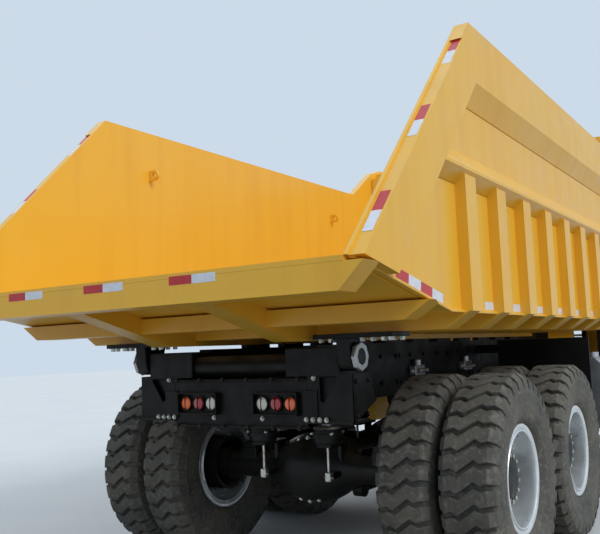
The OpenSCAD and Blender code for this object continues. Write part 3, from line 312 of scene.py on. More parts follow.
# %% Metals, glass and trim
def wheel_silver():
    f = Finish("wheel silver", 0.30, 0.7)
    clean, dull = paint_colour(236, 240, 242), paint_colour(200, 200, 194)
    base = f.blend(f.noise(5, 5, 0.35, 0.75, top=0.7), clean, dull)
    f.rough_by(f.noise(12, 4, 0.2, 0.8), 0.22, 0.42)
    f.relief(f.noise(220, 2, 0.0, 1.0), 0.0002)
    return f.colour(base)


def hard_chrome():
    f = Finish("hard chrome", 0.14, 1.0)
    f.rough_by(f.noise(30, 3, 0.2, 0.8, f.stretch((1, 1, 0.1))), 0.08, 0.22)
    bright, filmed = paint_colour(205, 206, 208), paint_colour(188, 190, 192)
    return f.colour(f.blend(f.noise(20, 2), bright, filmed))


def brushed_tank():
    f = Finish("brushed tank", 0.35, 0.85)
    brushed = f.noise(1.0, 3, 0.3, 0.7, f.stretch((4, 4, 160)))
    f.relief(brushed, 0.0003)
    f.rough_by(brushed, 0.28, 0.48)
    clean, dull = paint_colour(178, 181, 184), paint_colour(150, 147, 138)
    return f.colour(f.blend(f.noise(3, 5, top=0.6), clean, dull))


def safety_glass():
    f = Finish("safety glass", 0.05)
    f.shader.inputs["Transmission Weight"].default_value = 0.85
    f.shader.inputs["IOR"].default_value = 1.45
    f.rough_by(f.noise(2.5, 5, 0.45, 0.8), 0.03, 0.25)
    clean, dusty = paint_colour(150, 178, 178), paint_colour(190, 186, 172)
    return f.colour(f.blend(f.noise(1.5, 4, 0.4, 0.8, top=0.4), clean, dusty))


def cab_trim():
    f = Finish("cab trim", 0.6)
    f.relief(f.noise(420, 2, 0.0, 1.0), 0.0004)
    clean, worn = paint_colour(40, 41, 43), paint_colour(62, 60, 56)
    return f.colour(f.blend(f.noise(7, 4, 0.35, 0.7), clean, worn))


def lens_with_painted_glow(name, colour):
    """Ribbed plastic with a faint painted glow, so that the unlit lens looks bright in shade."""
    f = Finish(name, 0.16)
    # Painted glow: a weak emission that makes the unlit lens look bright in shade.
    f.shader.inputs["Emission Color"].default_value = colour
    f.shader.inputs["Emission Strength"].default_value = 0.12
    f.shader.inputs["Coat Weight"].default_value = 0.8
    f.shader.inputs["Coat Roughness"].default_value = 0.05
    f.relief(f.noise(90, 1, 0.0, 1.0), 0.0002)
    deep = tuple(part * 0.82 for part in colour[:3]) + (1.0,)
    return f.colour(f.blend(f.noise(60, 1, 0.3, 0.7), colour, deep))


enamel = golden_enamel()
black = chassis_black()
axle_black = chassis_black("axle black", (19, 19, 18), 0.35, 0.38)
iron = cast_iron()
tread = tyre_rubber()
rubber = plain_rubber()
silver = wheel_silver()
chrome = hard_chrome()
tank_metal = brushed_tank()
glass = safety_glass()
trim = cab_trim()
amber_lens = lens_with_painted_glow("amber lens", paint_colour(244, 104, 28))
red_lens = lens_with_painted_glow("red lens", paint_colour(168, 12, 18))
clear_lens = lens_with_painted_glow("clear lens", paint_colour(214, 212, 202))
print("finishes ready:", len(bpy.data.materials))

# %% [markdown]
# The CAD nodes now take their finishes. The record says which material slot each node uses, so one
# short table from slot to finish dresses them all.

# %% Dress the CAD nodes
finish_of_slot = {
    "body_paint": enamel, "chassis_paint": black, "axle_paint": axle_black, "rubber": rubber,
    "tyre": tread, "rim": silver, "hard_chrome": chrome, "glass": glass, "trim": trim, "cast": iron,
    "tank": tank_metal, "lamp": red_lens,
}
slot_of_node = {part["node"]: part["material_slot"] for part in frame["record"]["subparts"]}
for name, node in nodes.items():
    node.data.materials.clear()
    node.data.materials.append(finish_of_slot[slot_of_node[name]])
print("dressed", len(nodes), "nodes")

# %% [markdown]
# The truck stood on grey asphalt, which throws little light up under it. So the floor is pale only to
# the camera, in gloss and through glass, and asphalt grey to the light that it throws back.

# %% Floor
floor_finish = Finish("pale floor", 0.9)
path = floor_finish.add("ShaderNodeLightPath").outputs
seen = floor_finish.both("MAXIMUM", path["Is Camera Ray"], path["Is Glossy Ray"])
seen = floor_finish.both("MAXIMUM", seen, path["Is Transmission Ray"])
asphalt, light_patch, dark_patch = (
    paint_colour(128, 128, 126), paint_colour(212, 213, 212), paint_colour(208, 210, 210))
pale = floor_finish.blend(floor_finish.noise(0.8, 6), dark_patch, light_patch)
ground.data.materials.append(floor_finish.colour(floor_finish.blend(seen, asphalt, pale)))

# %% [markdown]
# New pieces are modelled as by hand. Everything is deselected first, because loading the frame leaves
# its nodes selected. A shape starts as a primitive, is edited, and ends with its object at the origin
# and its place in its mesh, as the CAD nodes have it. The helpers here do the steps that every piece
# shares.


# %% Helpers for pieces
def start_fresh():
    if bpy.context.object and bpy.context.object.mode != "OBJECT":
        bpy.ops.object.mode_set(mode="OBJECT")
    bpy.ops.object.select_all(action="DESELECT")


def settle(piece, name, *materials):
    """Puts a finished piece's place into its mesh and gives it its name and finishes."""
    start_fresh()
    piece.select_set(True)
    bpy.context.view_layer.objects.active = piece
    bpy.ops.object.transform_apply(location=True, rotation=True, scale=True)
    piece.name = name
    piece.data.name = name
    if materials:
        piece.data.materials.clear()
        for material in materials:
            piece.data.materials.append(material)
    return piece


def soften(piece, width, angle=35):
    """Bevels the sharp edges of a piece, as a cast, moulded or flame-cut edge is."""
    bevel = piece.modifiers.new("soft edges", "BEVEL")
    bevel.width = width
    bevel.segments = 1
    bevel.limit_method = "ANGLE"
    bevel.angle_limit = math.radians(angle)
    bpy.context.view_layer.objects.active = piece
    bpy.ops.object.modifier_apply(modifier=bevel.name)
    return piece


def gather(pieces, name, *materials):
    """Joins like pieces into one object."""
    start_fresh()
    for piece in pieces:
        piece.select_set(True)
    bpy.context.view_layer.objects.active = pieces[0]
    if len(pieces) > 1:
        bpy.ops.object.join()
    return settle(bpy.context.object, name, *materials)


def copy_to(piece, shift=(0, 0, 0), turn=0.0):
    """A copy with its own mesh, turned about the X axis and then moved."""
    start_fresh()
    twin = piece.copy()
    twin.data = piece.data.copy()
    bpy.context.collection.objects.link(twin)
    twin.matrix_world = Matrix.Translation(shift) @ Matrix.Rotation(turn, 4, "X") @ piece.matrix_world
    return twin


def remove(piece):
    start_fresh()
    piece.select_set(True)
    bpy.ops.object.delete()


def triangles(piece):
    return sum(len(face.vertices) - 2 for face in piece.data.polygons)


# %% [markdown]
# The tyre is the one soft thing here, and the eye goes straight to its tread: 34 wide lugs, parted by
# grooves that zigzag from one shoulder to the other and trend across the tyre. It could be cut from a
# solid ring with booleans, which is slow and leaves poor edges. Instead the edge of one lug is drawn
# as a chain of points across the tyre, swept a few degrees round the axle to make the lug's face, and
# its rim is pulled inward to make the groove's walls. Then the lug is copied round the tyre.

# %% Sizes of a tyre, read from the frame
axle_of = {}
for joint in frame["joints"]:
    if joint["name"].startswith("spin_"):
        axle_of[joint["child"]] = Vector(joint["pos_m"])
front_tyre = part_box("tyre_front_left")
tyre_r = (front_tyre[1][1] - front_tyre[0][1]) / 2
tyre_w = front_tyre[1][0] - front_tyre[0][0]
twin_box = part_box("tyres_mid_left")
twin_half_pitch = (twin_box[1][0] - twin_box[0][0] - tyre_w) / 2
bead_r, rim_half_w, flange_r = 0.3185, 0.127, 0.356
lug_count = 34
lug_turn = 2 * math.pi / lug_count
groove_w, groove_depth = 0.037, 0.038
carcass_steps, lug_steps, lug_edge = 68, 3, 0.0035
lug_sunk, lug_taper, weld_gap = 0.004, 0.985, 0.0002
print("tyre radius", round(tyre_r, 3), "and width", round(tyre_w, 3))


# %% [markdown]
# The chains that follow are drawn by extruding one vertex from point to point, which is how a profile
# is traced by hand, and a spin turns a profile into a ring.


# %% Drawing a chain and spinning it
def chain(points):
    """A chain of edges through the points, left in edit mode with all of it selected."""
    start_fresh()
    bpy.ops.mesh.primitive_plane_add(size=0.01, location=(0, 0, 0))
    bpy.ops.object.mode_set(mode="EDIT")
    bpy.ops.mesh.select_mode(type="VERT")
    bpy.ops.mesh.select_all(action="SELECT")
    bpy.ops.mesh.merge(type="CENTER")
    bpy.ops.transform.translate(value=points[0])
    for here, there in zip(points, points[1:]):
        step = Vector(there) - Vector(here)
        bpy.ops.mesh.extrude_region_move(TRANSFORM_OT_translate={"value": step})
    bpy.ops.mesh.select_all(action="SELECT")
    return bpy.context.object


def ring_about_x(profile, steps):
    """A closed ring from a profile of (x, radius) points, spun about the X axis."""
    ring = chain([(x, 0, radius) for x, radius in profile])
    bpy.ops.mesh.spin(steps=steps, angle=2 * math.pi, center=(0, 0, 0), axis=(1, 0, 0))
    bpy.ops.mesh.select_all(action="SELECT")
    bpy.ops.mesh.remove_doubles(threshold=weld_gap)
    bpy.ops.mesh.normals_make_consistent(inside=False)
    bpy.ops.object.mode_set(mode="OBJECT")
    return ring


# %% The carcass
def carcass():
    """Bead, sidewall with its two rubbing ribs, shoulder and the floor of the grooves."""
    under = tyre_r - groove_depth
    half = [(rim_half_w, bead_r), (rim_half_w, flange_r), (rim_half_w + 0.020, flange_r + 0.016),
            (rim_half_w + 0.034, flange_r + 0.030), (0.170, 0.410), (0.1735, 0.418), (0.1735, 0.426),
            (0.1765, 0.434), (0.1840, 0.480), (0.1840, 0.545), (0.1868, 0.552), (0.1868, 0.566),
            (0.1840, 0.573), (0.1805, 0.590), (0.1730, 0.622), (0.1600, under - 0.006), (0.0700, under)]
    mirrored = [(-x, radius) for x, radius in reversed(half)]
    return ring_about_x(half + mirrored + half[:1], carcass_steps)


# %% [markdown]
# The zigzag is the same read from either shoulder, turned half round. Its bends were measured on the
# photograph, by casting rays from the camera onto the tyre.

# %% The lugs
shoulder_x, side_x = 0.1355, 0.1785
groove_bends = [(0.053, 0.039), (0.092, 0.017), (shoulder_x, 0.030), (0.158, 0.028), (side_x, 0.024),
                (0.1862, 0.0225)]
crown_drop, shoulder_drop, side_drop, side_run = 0.003, 0.041, 0.053, 0.0077


def tread_radius(x):
    """Radius of the tread at x: nearly flat, then a bevelled shoulder, then steeply down the side."""
    across = abs(x)
    if across <= shoulder_x:
        return tyre_r - crown_drop * (across / shoulder_x) ** 2
    shoulder = tyre_r - crown_drop
    if across <= side_x:
        return shoulder - shoulder_drop * (across - shoulder_x) / (side_x - shoulder_x)
    return shoulder - shoulder_drop - side_drop * (across - side_x) / side_run


def lug():
    bends = [(-x, -shift) for x, shift in reversed(groove_bends)] + [(0.0, 0.0)] + groove_bends
    points = []
    for x, shift in bends:
        angle = (shift - groove_w / 2) / tyre_r
        radius = tread_radius(x)
        points.append((x, radius * math.sin(angle), radius * math.cos(angle)))
    piece = chain(points)
    face_turn = lug_turn - groove_w / tyre_r
    bpy.ops.mesh.spin(steps=lug_steps, angle=face_turn, center=(0, 0, 0), axis=(1, 0, 0))
    bpy.ops.mesh.select_all(action="SELECT")
    bpy.ops.mesh.remove_doubles(threshold=weld_gap)
    bpy.ops.mesh.normals_make_consistent(inside=False)
    bpy.ops.mesh.select_mode(type="EDGE")
    bpy.ops.mesh.select_all(action="DESELECT")
    bpy.ops.mesh.select_non_manifold()
    inward = 1 - (groove_depth + lug_sunk) / tyre_r
    bpy.ops.mesh.extrude_edges_move()
    bpy.ops.transform.resize(value=(lug_taper, inward, inward), center_override=(0, 0, 0))
    bpy.ops.mesh.select_all(action="SELECT")
    bpy.ops.mesh.normals_make_consistent(inside=False)
    bpy.ops.object.mode_set(mode="OBJECT")
    return soften(piece, lug_edge, 50)


def lugged_tyre():
    base = carcass()
    first = lug()
    ring = [copy_to(first, turn=step * lug_turn) for step in range(1, lug_count)]
    whole = gather([base, first] + ring, "tyre", tread)
    bpy.ops.object.shade_smooth_by_angle(angle=math.radians(35))
    return whole


pattern_tyre = lugged_tyre()
print("one tyre:", triangles(pattern_tyre), "triangles")

# %% [markdown]
# Each tyre is a copy of that one, placed on its axle. A twin pair is one piece, since both tyres turn
# together. It replaces the CAD tyre, which is plain and reaches to the tips of the lugs.

# %% Tyres on their wheels
for side in ("left", "right"):
    for row in ("front", "mid", "rear"):
        body = ("wheel_" if row == "front" else "wheels_") + row + "_" + side
        node = ("tyre_" if row == "front" else "tyres_") + row + "_" + side
        offsets = (0.0,) if row == "front" else (-twin_half_pitch, twin_half_pitch)
        copies = []
        for offset in offsets:
            copies.append(copy_to(pattern_tyre, axle_of[body] + Vector((offset, 0, 0))))
        tyres = gather(copies, "tread_" + row + "_" + side, tread)
        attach(tyres, body)
        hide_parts(node)
remove(pattern_tyre)
print("tyres placed on", len(axle_of), "wheels")

# %% [markdown]
# Most of what is left is steel-shop work: plate, bar, turned parts and bolts. Each of these starts
# as a block, a traced outline or a traced profile, so a few helpers cover nearly every fitting. Edges
# get a small bevel, because a real edge always catches a line of light.


# %% Helpers for plate, bar and turned parts
def stand(piece, at, facing):
    """Moves a piece made along +X at the origin, so that it starts at a point and faces away."""
    aimed = Vector(facing).to_track_quat("X", "Z").to_matrix().to_4x4()
    piece.matrix_world = Matrix.Translation(at) @ aimed
    return piece


def moved(piece, shift, half_turn=False):
    """Moves a piece made at the origin, turned half round the vertical first where asked."""
    turn = Matrix.Rotation(math.pi if half_turn else 0.0, 4, "Z")
    piece.matrix_world = Matrix.Translation(shift) @ turn
    return piece


def block_between(low, high, edge=0.002):
    """A block given by its lowest and highest corners, with its edges broken."""
    start_fresh()
    low, high = Vector(low), Vector(high)
    bpy.ops.mesh.primitive_cube_add(size=1, location=(low + high) / 2)
    piece = bpy.context.object
    piece.scale = high - low
    bpy.ops.object.transform_apply(location=True, rotation=False, scale=True)
    return soften(piece, edge) if edge else piece


def span(sign, near, far):
    """A stretch across the truck, lowest x first: on the left where sign is -1, else on the right."""
    return sorted((sign * near, sign * far))


def side_block(sign, x, y, z, edge=0.003):
    """A block on one side of the truck, given by its stretches along x, y and z."""
    x = span(sign, *x)
    return block_between((x[0], y[0], z[0]), (x[1], y[1], z[1]), edge)


def prism(points, step, edge=0.002):
    """A flat outline traced point by point, filled, and drawn out by a step."""
    piece = chain(points)
    bpy.ops.mesh.edge_face_add()
    bpy.ops.mesh.extrude_region_move(TRANSFORM_OT_translate={"value": step})
    bpy.ops.mesh.select_all(action="SELECT")
    bpy.ops.mesh.normals_make_consistent(inside=False)
    bpy.ops.object.mode_set(mode="OBJECT")
    return soften(piece, edge) if edge else piece


def side_plate(outline, x, edge=0.002):
    """A plate cut to an outline of (y, z) points, that fills a stretch across the truck."""
    return prism([(x[0], y, z) for y, z in outline], (x[1] - x[0], 0, 0), edge)


def turned(profile, at, facing, steps=32):
    """A part turned from a profile of (along, radius) points, standing at a point and facing away."""
    return stand(ring_about_x(profile, steps), at, facing)


def closed(profile):
    return profile + profile[:1]


def bar_between(start, end, radius, steps=16):
    run = Vector(end) - Vector(start)
    return turned([(0, 0), (0, radius), (run.length, radius), (run.length, 0)], start, run, steps)


def finished(pieces, name, body, slot_name, finish, *nodes):
    """Joins pieces into one, smooths its round faces, dresses it and hangs it on its body."""
    whole = gather(pieces, name, finish)
    bpy.ops.object.shade_smooth_by_angle(angle=math.radians(32))
    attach(whole, body)
    if nodes:
        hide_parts(*nodes)
    return whole


# %% [markdown]
# Every bolt is a copy of one head with its washer. A size says how far it is across the flats and how
# high it stands.

# %% Bolts
washer_t, washer_flare, chamfer = 0.003, 1.25, 0.85
stud_nut, cap_bolt, hub_bolt = (0.036, 0.036), (0.019, 0.012), (0.028, 0.018)
axle_bolt, tail_nut, tail_bolt = (0.024, 0.014), (0.022, 0.014), (0.024, 0.014)
rail_bolt, flange_bolt, hose_union = (0.028, 0.018), (0.030, 0.022), (0.026, 0.034)


def hex_bolt(across, high):
    """A hexagon head with a chamfered top, on its washer."""
    corner = across / math.sqrt(3)
    washer = ring_about_x([(0, 0), (0, corner * washer_flare), (washer_t, corner * washer_flare),
                           (washer_t, 0)], 14)
    head = ring_about_x([(washer_t, 0), (washer_t, corner), (high - 0.003, corner),
                         (high, corner * chamfer), (high, 0)], 6)
    return gather([washer, head], "bolt")


def bolts_at(spots, size):
    """Copies of one bolt, each at a point and facing a way."""
    first = hex_bolt(*size)
    copies = [stand(copy_to(first), at, facing) for at, facing in spots]
    remove(first)
    return copies


# %% [markdown]
# Three finishes are left for the fittings: zinc, which bolts are plated with, and two colours of tape.


# %% Zinc and reflective tape
def bright_zinc():
    f = Finish("bright zinc", 0.3, 0.85)
    f.relief(f.noise(300, 2, 0.0, 1.0), 0.0002)
    clean, dull = paint_colour(206, 206, 200), paint_colour(150, 146, 132)
    return f.colour(f.blend(f.noise(40, 4, 0.35, 0.7), clean, dull))


def reflective_tape(name, lit, dull):
    """Tape full of glass beads: bright, with a fine grain."""
    f = Finish(name, 0.32)
    f.relief(f.noise(500, 1, 0.0, 1.0), 0.0002)
    return f.colour(f.blend(f.noise(30, 4, 0.35, 0.75, top=0.6), lit, dull))


zinc = bright_zinc()
red_tape = reflective_tape("red tape", paint_colour(196, 40, 44), paint_colour(160, 34, 40))
white_tape = reflective_tape("white tape", paint_colour(222, 226, 234), paint_colour(196, 198, 204))

# %% [markdown]
# A truck rim this deep is rolled from a section: a flange that holds the bead, a gutter with the lock
# ring beside it, and a plain barrel. A dished disc is welded in, and bolts to the hub. All of it is
# round, so each is one traced profile spun about the axle. The disc of an outer twin lies deep inside,
# and the hub's planet gears stick out through it.

# %% Profiles of rims and hubs
rim_ring = [(0.127, 0.3185), (0.127, 0.350), (0.130, 0.3545), (0.136, 0.356), (0.141, 0.353),
            (0.1415, 0.346), (0.139, 0.330), (0.136, 0.324), (0.130, 0.3215), (0.130, 0.3185),
            (0.138, 0.317), (0.1425, 0.313), (0.143, 0.307), (0.139, 0.302), (0.128, 0.2985),
            (0.100, 0.300), (0.060, 0.298), (-0.100, 0.298), (-0.125, 0.301), (-0.141, 0.308),
            (-0.1415, 0.346), (-0.136, 0.356), (-0.127, 0.350), (-0.127, 0.3185)]
deep_disc = [(-0.077, 0.299), (-0.098, 0.292), (-0.135, 0.262), (-0.170, 0.228), (-0.1925, 0.205),
             (-0.1925, 0.100), (-0.2125, 0.100), (-0.2125, 0.208), (-0.188, 0.235), (-0.150, 0.268),
             (-0.112, 0.299)]
front_disc = [(0.085, 0.299), (0.098, 0.290), (0.106, 0.262), (0.110, 0.225), (0.110, 0.100),
              (0.090, 0.100), (0.090, 0.225), (0.086, 0.258), (0.076, 0.288), (0.066, 0.299)]
twin_hub = [(-0.054, 0), (-0.054, 0.0605), (-0.4015, 0.0605), (-0.4015, 0.110), (-0.140, 0.110),
            (-0.140, 0.190), (-0.3915, 0.190), (-0.3915, 0.210), (-0.110, 0.210), (-0.100, 0.165),
            (0.150, 0.165), (0.238, 0.158), (0.242, 0.172), (0.258, 0.172), (0.262, 0.168),
            (0.262, 0.130), (0.280, 0.120), (0.288, 0.070), (0.290, 0)]
front_hub = [(0.086, 0), (0.086, 0.0605), (-0.129, 0.0605), (-0.129, 0.110), (-0.040, 0.110),
             (-0.040, 0.190), (-0.119, 0.190), (-0.119, 0.210), (-0.010, 0.210), (0.0, 0.165),
             (0.130, 0.165), (0.140, 0.158), (0.142, 0.115), (0.160, 0.105), (0.168, 0.080),
             (0.170, 0)]
rim_steps, hub_steps, stud_count = 72, 40, 12
stud_circle, hub_circle, cap_circle = 0.186, 0.150, 0.129
twin_stud_x, front_stud_x, hub_face_x, cap_face_x = 0.020, 0.110, 0.262, 0.142


def round_the_axle(count, radius, x):
    turns = [2 * math.pi * step / count for step in range(count)]
    return [((x, radius * math.sin(turn), radius * math.cos(turn)), (1, 0, 0)) for turn in turns]


def front_wheel_parts():
    metal = [ring_about_x(closed(profile), rim_steps) for profile in (rim_ring, front_disc)]
    hub = [ring_about_x(front_hub, hub_steps)]
    nuts = bolts_at(round_the_axle(stud_count, stud_circle, front_stud_x), stud_nut)
    return metal, hub, nuts + bolts_at(round_the_axle(8, cap_circle, cap_face_x), cap_bolt)


def twin_wheel_parts():
    metal = []
    for turned_in, offset in ((False, twin_half_pitch), (True, -twin_half_pitch)):
        for profile in (rim_ring, deep_disc):
            ring = ring_about_x(closed(profile), rim_steps)
            metal.append(moved(ring, (offset, 0, 0), turned_in))
    hub = [ring_about_x(twin_hub, hub_steps)]
    nuts = bolts_at(round_the_axle(stud_count, stud_circle, twin_stud_x), stud_nut)
    return metal, hub, nuts + bolts_at(round_the_axle(14, hub_circle, hub_face_x), hub_bolt)


# %% Rims, hubs and nuts on their wheels
for side, sign in (("left", -1), ("right", 1)):
    for row in ("front", "mid", "rear"):
        single = row == "front"
        place = row + "_" + side
        body = ("wheel_" if single else "wheels_") + place
        node = ("rim_" if single else "rims_") + place
        metal, hub, nuts = front_wheel_parts() if single else twin_wheel_parts()
        for pieces, name, slot_name, finish, replaced in (
                (metal, "rim_metal_", "rim", silver, (node,)),
                (hub, "hub_", "axle_paint", axle_black, ()),
                (nuts, "wheel_nuts_", "rim", zinc, ())):
            wheel_part = moved(gather(pieces, name + place), axle_of[body], sign < 0)
            finished([wheel_part], wheel_part.name, body, slot_name, finish, *replaced)
print("wheels dressed")

# %% [markdown]
# The drive axles carry the load on a round housing that swells round the final drive, with a pressed
# cover on the back. Two upright brake chambers stand behind each, with bright rods down to their
# levers. Places are measured from the middle of the axle.

# %% Profiles of the drive axles
housing = [(0, 0.260), (0.06, 0.256), (0.15, 0.235), (0.24, 0.190), (0.32, 0.135), (0.42, 0.102),
           (0.775, 0.100), (0.780, 0.130), (0.810, 0.130), (0.810, 0.060), (1.1575, 0.060), (1.1575, 0)]
whole_housing = [(-x, radius) for x, radius in reversed(housing)] + housing[1:]
cover = [(0, 0), (0, 0.245), (0.118, 0.245), (0.122, 0.241), (0.122, 0.215), (0.128, 0.208),
         (0.165, 0.188), (0.200, 0.150), (0.222, 0.095), (0.230, 0)]
nose = [(0, 0), (0, 0.245), (0.100, 0.240), (0.160, 0.195), (0.200, 0.165), (0.200, 0)]
pinion = [(0, 0), (0, 0.140), (0.300, 0.108), (0.380, 0.100), (0.400, 0.100), (0.402, 0.085),
          (0.420, 0.085), (0.420, 0)]
chamber = [(0, 0), (0, 0.088), (0.020, 0.1025), (0.052, 0.1025), (0.052, 0.118), (0.076, 0.118),
           (0.076, 0.1025), (0.112, 0.1000), (0.112, 0)]
chamber_lid = [(0.110, 0), (0.112, 0.1002), (0.126, 0.092), (0.132, 0.078), (0.134, 0.040),
               (0.157, 0.037), (0.160, 0)]
pinion_lift, cover_bolts, cover_circle, cover_face = 0.09, 18, 0.228, -0.121
chamber_x, chamber_y, chamber_z = 0.28, -0.30, 0.215
rod_length, rod_r, clevis_pin_r, clevis_pin_half = 0.235, 0.011, 0.008, 0.034
band_bolts_r, band_bolts_z, band_turn, band_first = 0.112, 0.076, 1.57, 0.8
spring_seat_x, rod_seat_x = 0.58, 0.33
# Blocks: half the width, the stretches along y and z from the axle's middle, and the edge
spring_seat = (0.07, (-0.09, 0.09), (0.0, 0.135), 0.006)
chamber_shelf = (0.06, (-0.36, -0.05), (0.195, 0.216), 0.004)
shelf_web = (0.015, (-0.14, -0.05), (0.04, 0.196), 0.002)
brake_lever = (0.014, (-0.30, -0.09), (-0.036, 0.008), 0.006)
clevis = (0.022, (-0.322, -0.272), (-0.045, 0.020), 0.004)


# %% Drive axles
def on_axle(axle_y, x, half_x, y, z, edge):
    """A block centred at x, given by its stretches along y and z from the middle of the axle."""
    return block_between((x - half_x, axle_y + y[0], axle_z + z[0]),
                         (x + half_x, axle_y + y[1], axle_z + z[1]), edge)


axle_z = axle_of["wheels_rear_left"].z
cast_parts, lids, rods, axle_bolts = [], [], [], []
for row, through in (("rear", False), ("mid", True)):
    y = axle_of["wheels_" + row + "_left"].y
    middle, pinion_at = (0, y, axle_z), (0, y, axle_z + pinion_lift)
    cast_parts += [turned(whole_housing, middle, (1, 0, 0), 40), turned(cover, middle, (0, -1, 0), 40),
                   turned(nose, middle, (0, 1, 0), 40), turned(pinion, pinion_at, (0, 1, 0), 32)]
    if through:
        cast_parts.append(turned(pinion, pinion_at, (0, -1, 0), 32))
    for step in range(cover_bolts):
        turn = 2 * math.pi * step / cover_bolts
        spot = (cover_circle * math.sin(turn), y + cover_face, axle_z + cover_circle * math.cos(turn))
        axle_bolts.append((spot, (0, -1, 0)))
    rod_seat = (0.04, (-0.09, -0.03) if through else (0.03, 0.09), (-0.095, -0.05), 0.002)
    for sign in (-1, 1):
        can_at = Vector((sign * chamber_x, y + chamber_y, axle_z + chamber_z))
        cast_parts += [
            on_axle(y, sign * spring_seat_x, *spring_seat), on_axle(y, sign * rod_seat_x, *rod_seat),
            turned(chamber, can_at, (0, 0, 1)), on_axle(y, can_at.x, *chamber_shelf),
            on_axle(y, can_at.x, *shelf_web), on_axle(y, can_at.x, *brake_lever)]
        lids.append(turned(chamber_lid, can_at, (0, 0, 1)))
        clevis_pin = Vector((can_at.x, y - 0.297, axle_z - 0.020))
        half_pin = Vector((clevis_pin_half, 0, 0))
        rods += [bar_between(can_at - Vector((0, 0, rod_length)), can_at, rod_r),
                 on_axle(y, can_at.x, *clevis),
                 bar_between(clevis_pin - half_pin, clevis_pin + half_pin, clevis_pin_r)]
        for step in range(4):
            turn = step * band_turn + band_first
            out = Vector((band_bolts_r * math.cos(turn), band_bolts_r * math.sin(turn), band_bolts_z))
            axle_bolts.append((can_at + out, (0, 0, 1)))
finished(cast_parts, "drive_axle_castings", "chassis", "axle_paint", axle_black, "drive_axles")
finished(lids, "brake_chamber_lids", "chassis", "tank", tank_metal)
finished(rods + bolts_at(axle_bolts, axle_bolt), "axle_bolts_and_rods", "chassis", "rim", zinc)
print("axles dressed")

# %% [markdown]
# The frame's tail is what the photograph looks into: a cross tube between two hinge boxes, the pins
# that the body tips on, capped with light eight-sided plates, a folded board with the lamps in two
# housings, and a gusseted wing plate on either side.

# %% Sizes of the frame's tail
hinge = next(Vector(joint["pos_m"]) for joint in frame["joints"] if joint["name"] == "bed_tip")
frame_rear = hinge.y + 0.16
board = hinge.y - 0.05
board_half, board_low, board_high = 0.545, 1.088, 1.390
lamp_z, lamp_box_half = 1.236, 0.072
wing_top = 1.420
wing_outline = [(board, 1.115), (frame_rear + 0.10, 1.240), (frame_rear, wing_top), (board, wing_top)]
wing_face = [(0.545, 1.115), (0.870, 1.115), (0.870, wing_top), (0.760, wing_top), (0.760, 1.385),
             (0.664, 1.240), (0.640, 1.255), (0.640, wing_top), (0.545, wing_top)]
lamp_box_walls = [((0.150, 0.158), (-lamp_box_half, lamp_box_half)),
                  ((0.485, 0.493), (-lamp_box_half, lamp_box_half)),
                  ((0.150, 0.493), (0.064, lamp_box_half)), ((0.150, 0.493), (-lamp_box_half, -0.064))]
cap_face = [(0, 0), (0, 0.088), (0.022, 0.092), (0.027, 0.086), (0.027, 0.055), (0.019, 0.050),
            (0.019, 0)]
pin_r, tube_r, tube_half = 0.050, 0.075, 0.40
tube_end = Vector((tube_half, hinge.y + 0.04, 1.475))
# Blocks on either side: their stretches along x, y and z
hinge_box = ((0.39, 0.785), (hinge.y - 0.06, frame_rear), (1.400, 1.585))
hinge_box_foot = ((0.39, 0.785), (hinge.y - 0.02, frame_rear), (1.120, 1.401))
wing_floor = ((0.545, 0.870), (board - 0.020, frame_rear), (1.115, 1.135))
board_joint = ((0.515, 0.625), (board - 0.020, board - 0.005), (1.134, 1.320))
# Bolts: x, their distance behind the board, and z
bright_spots = [(x, 0.021, 1.141) for x in (0.545, 0.594, 0.643, 0.692)]
bright_spots += [(0.60, 0.007, 1.395), (0.20, 0.007, 1.140)]
dark_spots = [(x, 0.035, z) for x in (0.10, 0.30, 0.50) for z in (board_low, board_high)]
wing_spots = ((board + 0.05, 1.16), (board + 0.05, 1.37), (frame_rear, 1.37))


def on_hinge_line(sign, x):
    return (sign * x, hinge.y, hinge.z)


def behind_board(sign, spots):
    return [((sign * x, board - out, z), (0, -1, 0)) for x, out, z in spots]


# %% Tail of the frame
steel, caps, pin_ends, bright, plain_bolts = [], [], [], [], []
steel.append(bar_between((-tube_half, tube_end.y, tube_end.z), tube_end, tube_r, 32))
steel.append(block_between((-board_half, board - 0.006, board_low),
                           (board_half, board + 0.006, board_high), 0.003))
steel.append(block_between((-0.50, board, 1.330), (0.50, frame_rear, board_high)))
for z in (board_low, board_high):
    steel.append(block_between((-board_half, board - 0.034, z - 0.005),
                               (board_half, board + 0.040, z + 0.005), 0.003))
for sign in (-1, 1):
    outward = (sign, 0, 0)
    steel += [side_block(sign, *hinge_box, 0.008), side_block(sign, *hinge_box_foot),
              side_block(sign, *wing_floor),
              bar_between(on_hinge_line(sign, 0.765), on_hinge_line(sign, 0.918), pin_r, 32),
              side_plate(wing_outline, span(sign, 0.850, 0.870)),
              prism([(sign * x, board - 0.006, z) for x, z in wing_face], (0, 0.020, 0)),
              side_block(sign, *board_joint, 0.004)]
    for x, (low, high) in lamp_box_walls:
        wall_z = (lamp_z + low, lamp_z + high)
        steel.append(side_block(sign, x, (board - 0.051, board - 0.005), wall_z, 0.001))
    caps.append(turned(cap_face, on_hinge_line(sign, 0.891), outward, 8))
    pin_ends.append(bar_between(on_hinge_line(sign, 0.900), on_hinge_line(sign, 0.912), pin_r, 8))
    bright += behind_board(sign, bright_spots)
    plain_bolts += behind_board(sign, dark_spots)
    plain_bolts += [((sign * 0.871, y, z), outward) for y, z in wing_spots]
finished(steel, "tail_steelwork", "chassis", "chassis_paint", black, "tail_frame")
finished(caps, "hinge_pin_caps", "chassis", "rim", tank_metal)
finished(pin_ends, "hinge_pin_ends", "chassis", "cast", iron)
finished(bolts_at(bright, tail_nut), "tail_bolts", "chassis", "rim", zinc)
finished(bolts_at(plain_bolts, tail_bolt), "tail_dark_bolts", "chassis", "axle_paint", axle_black)

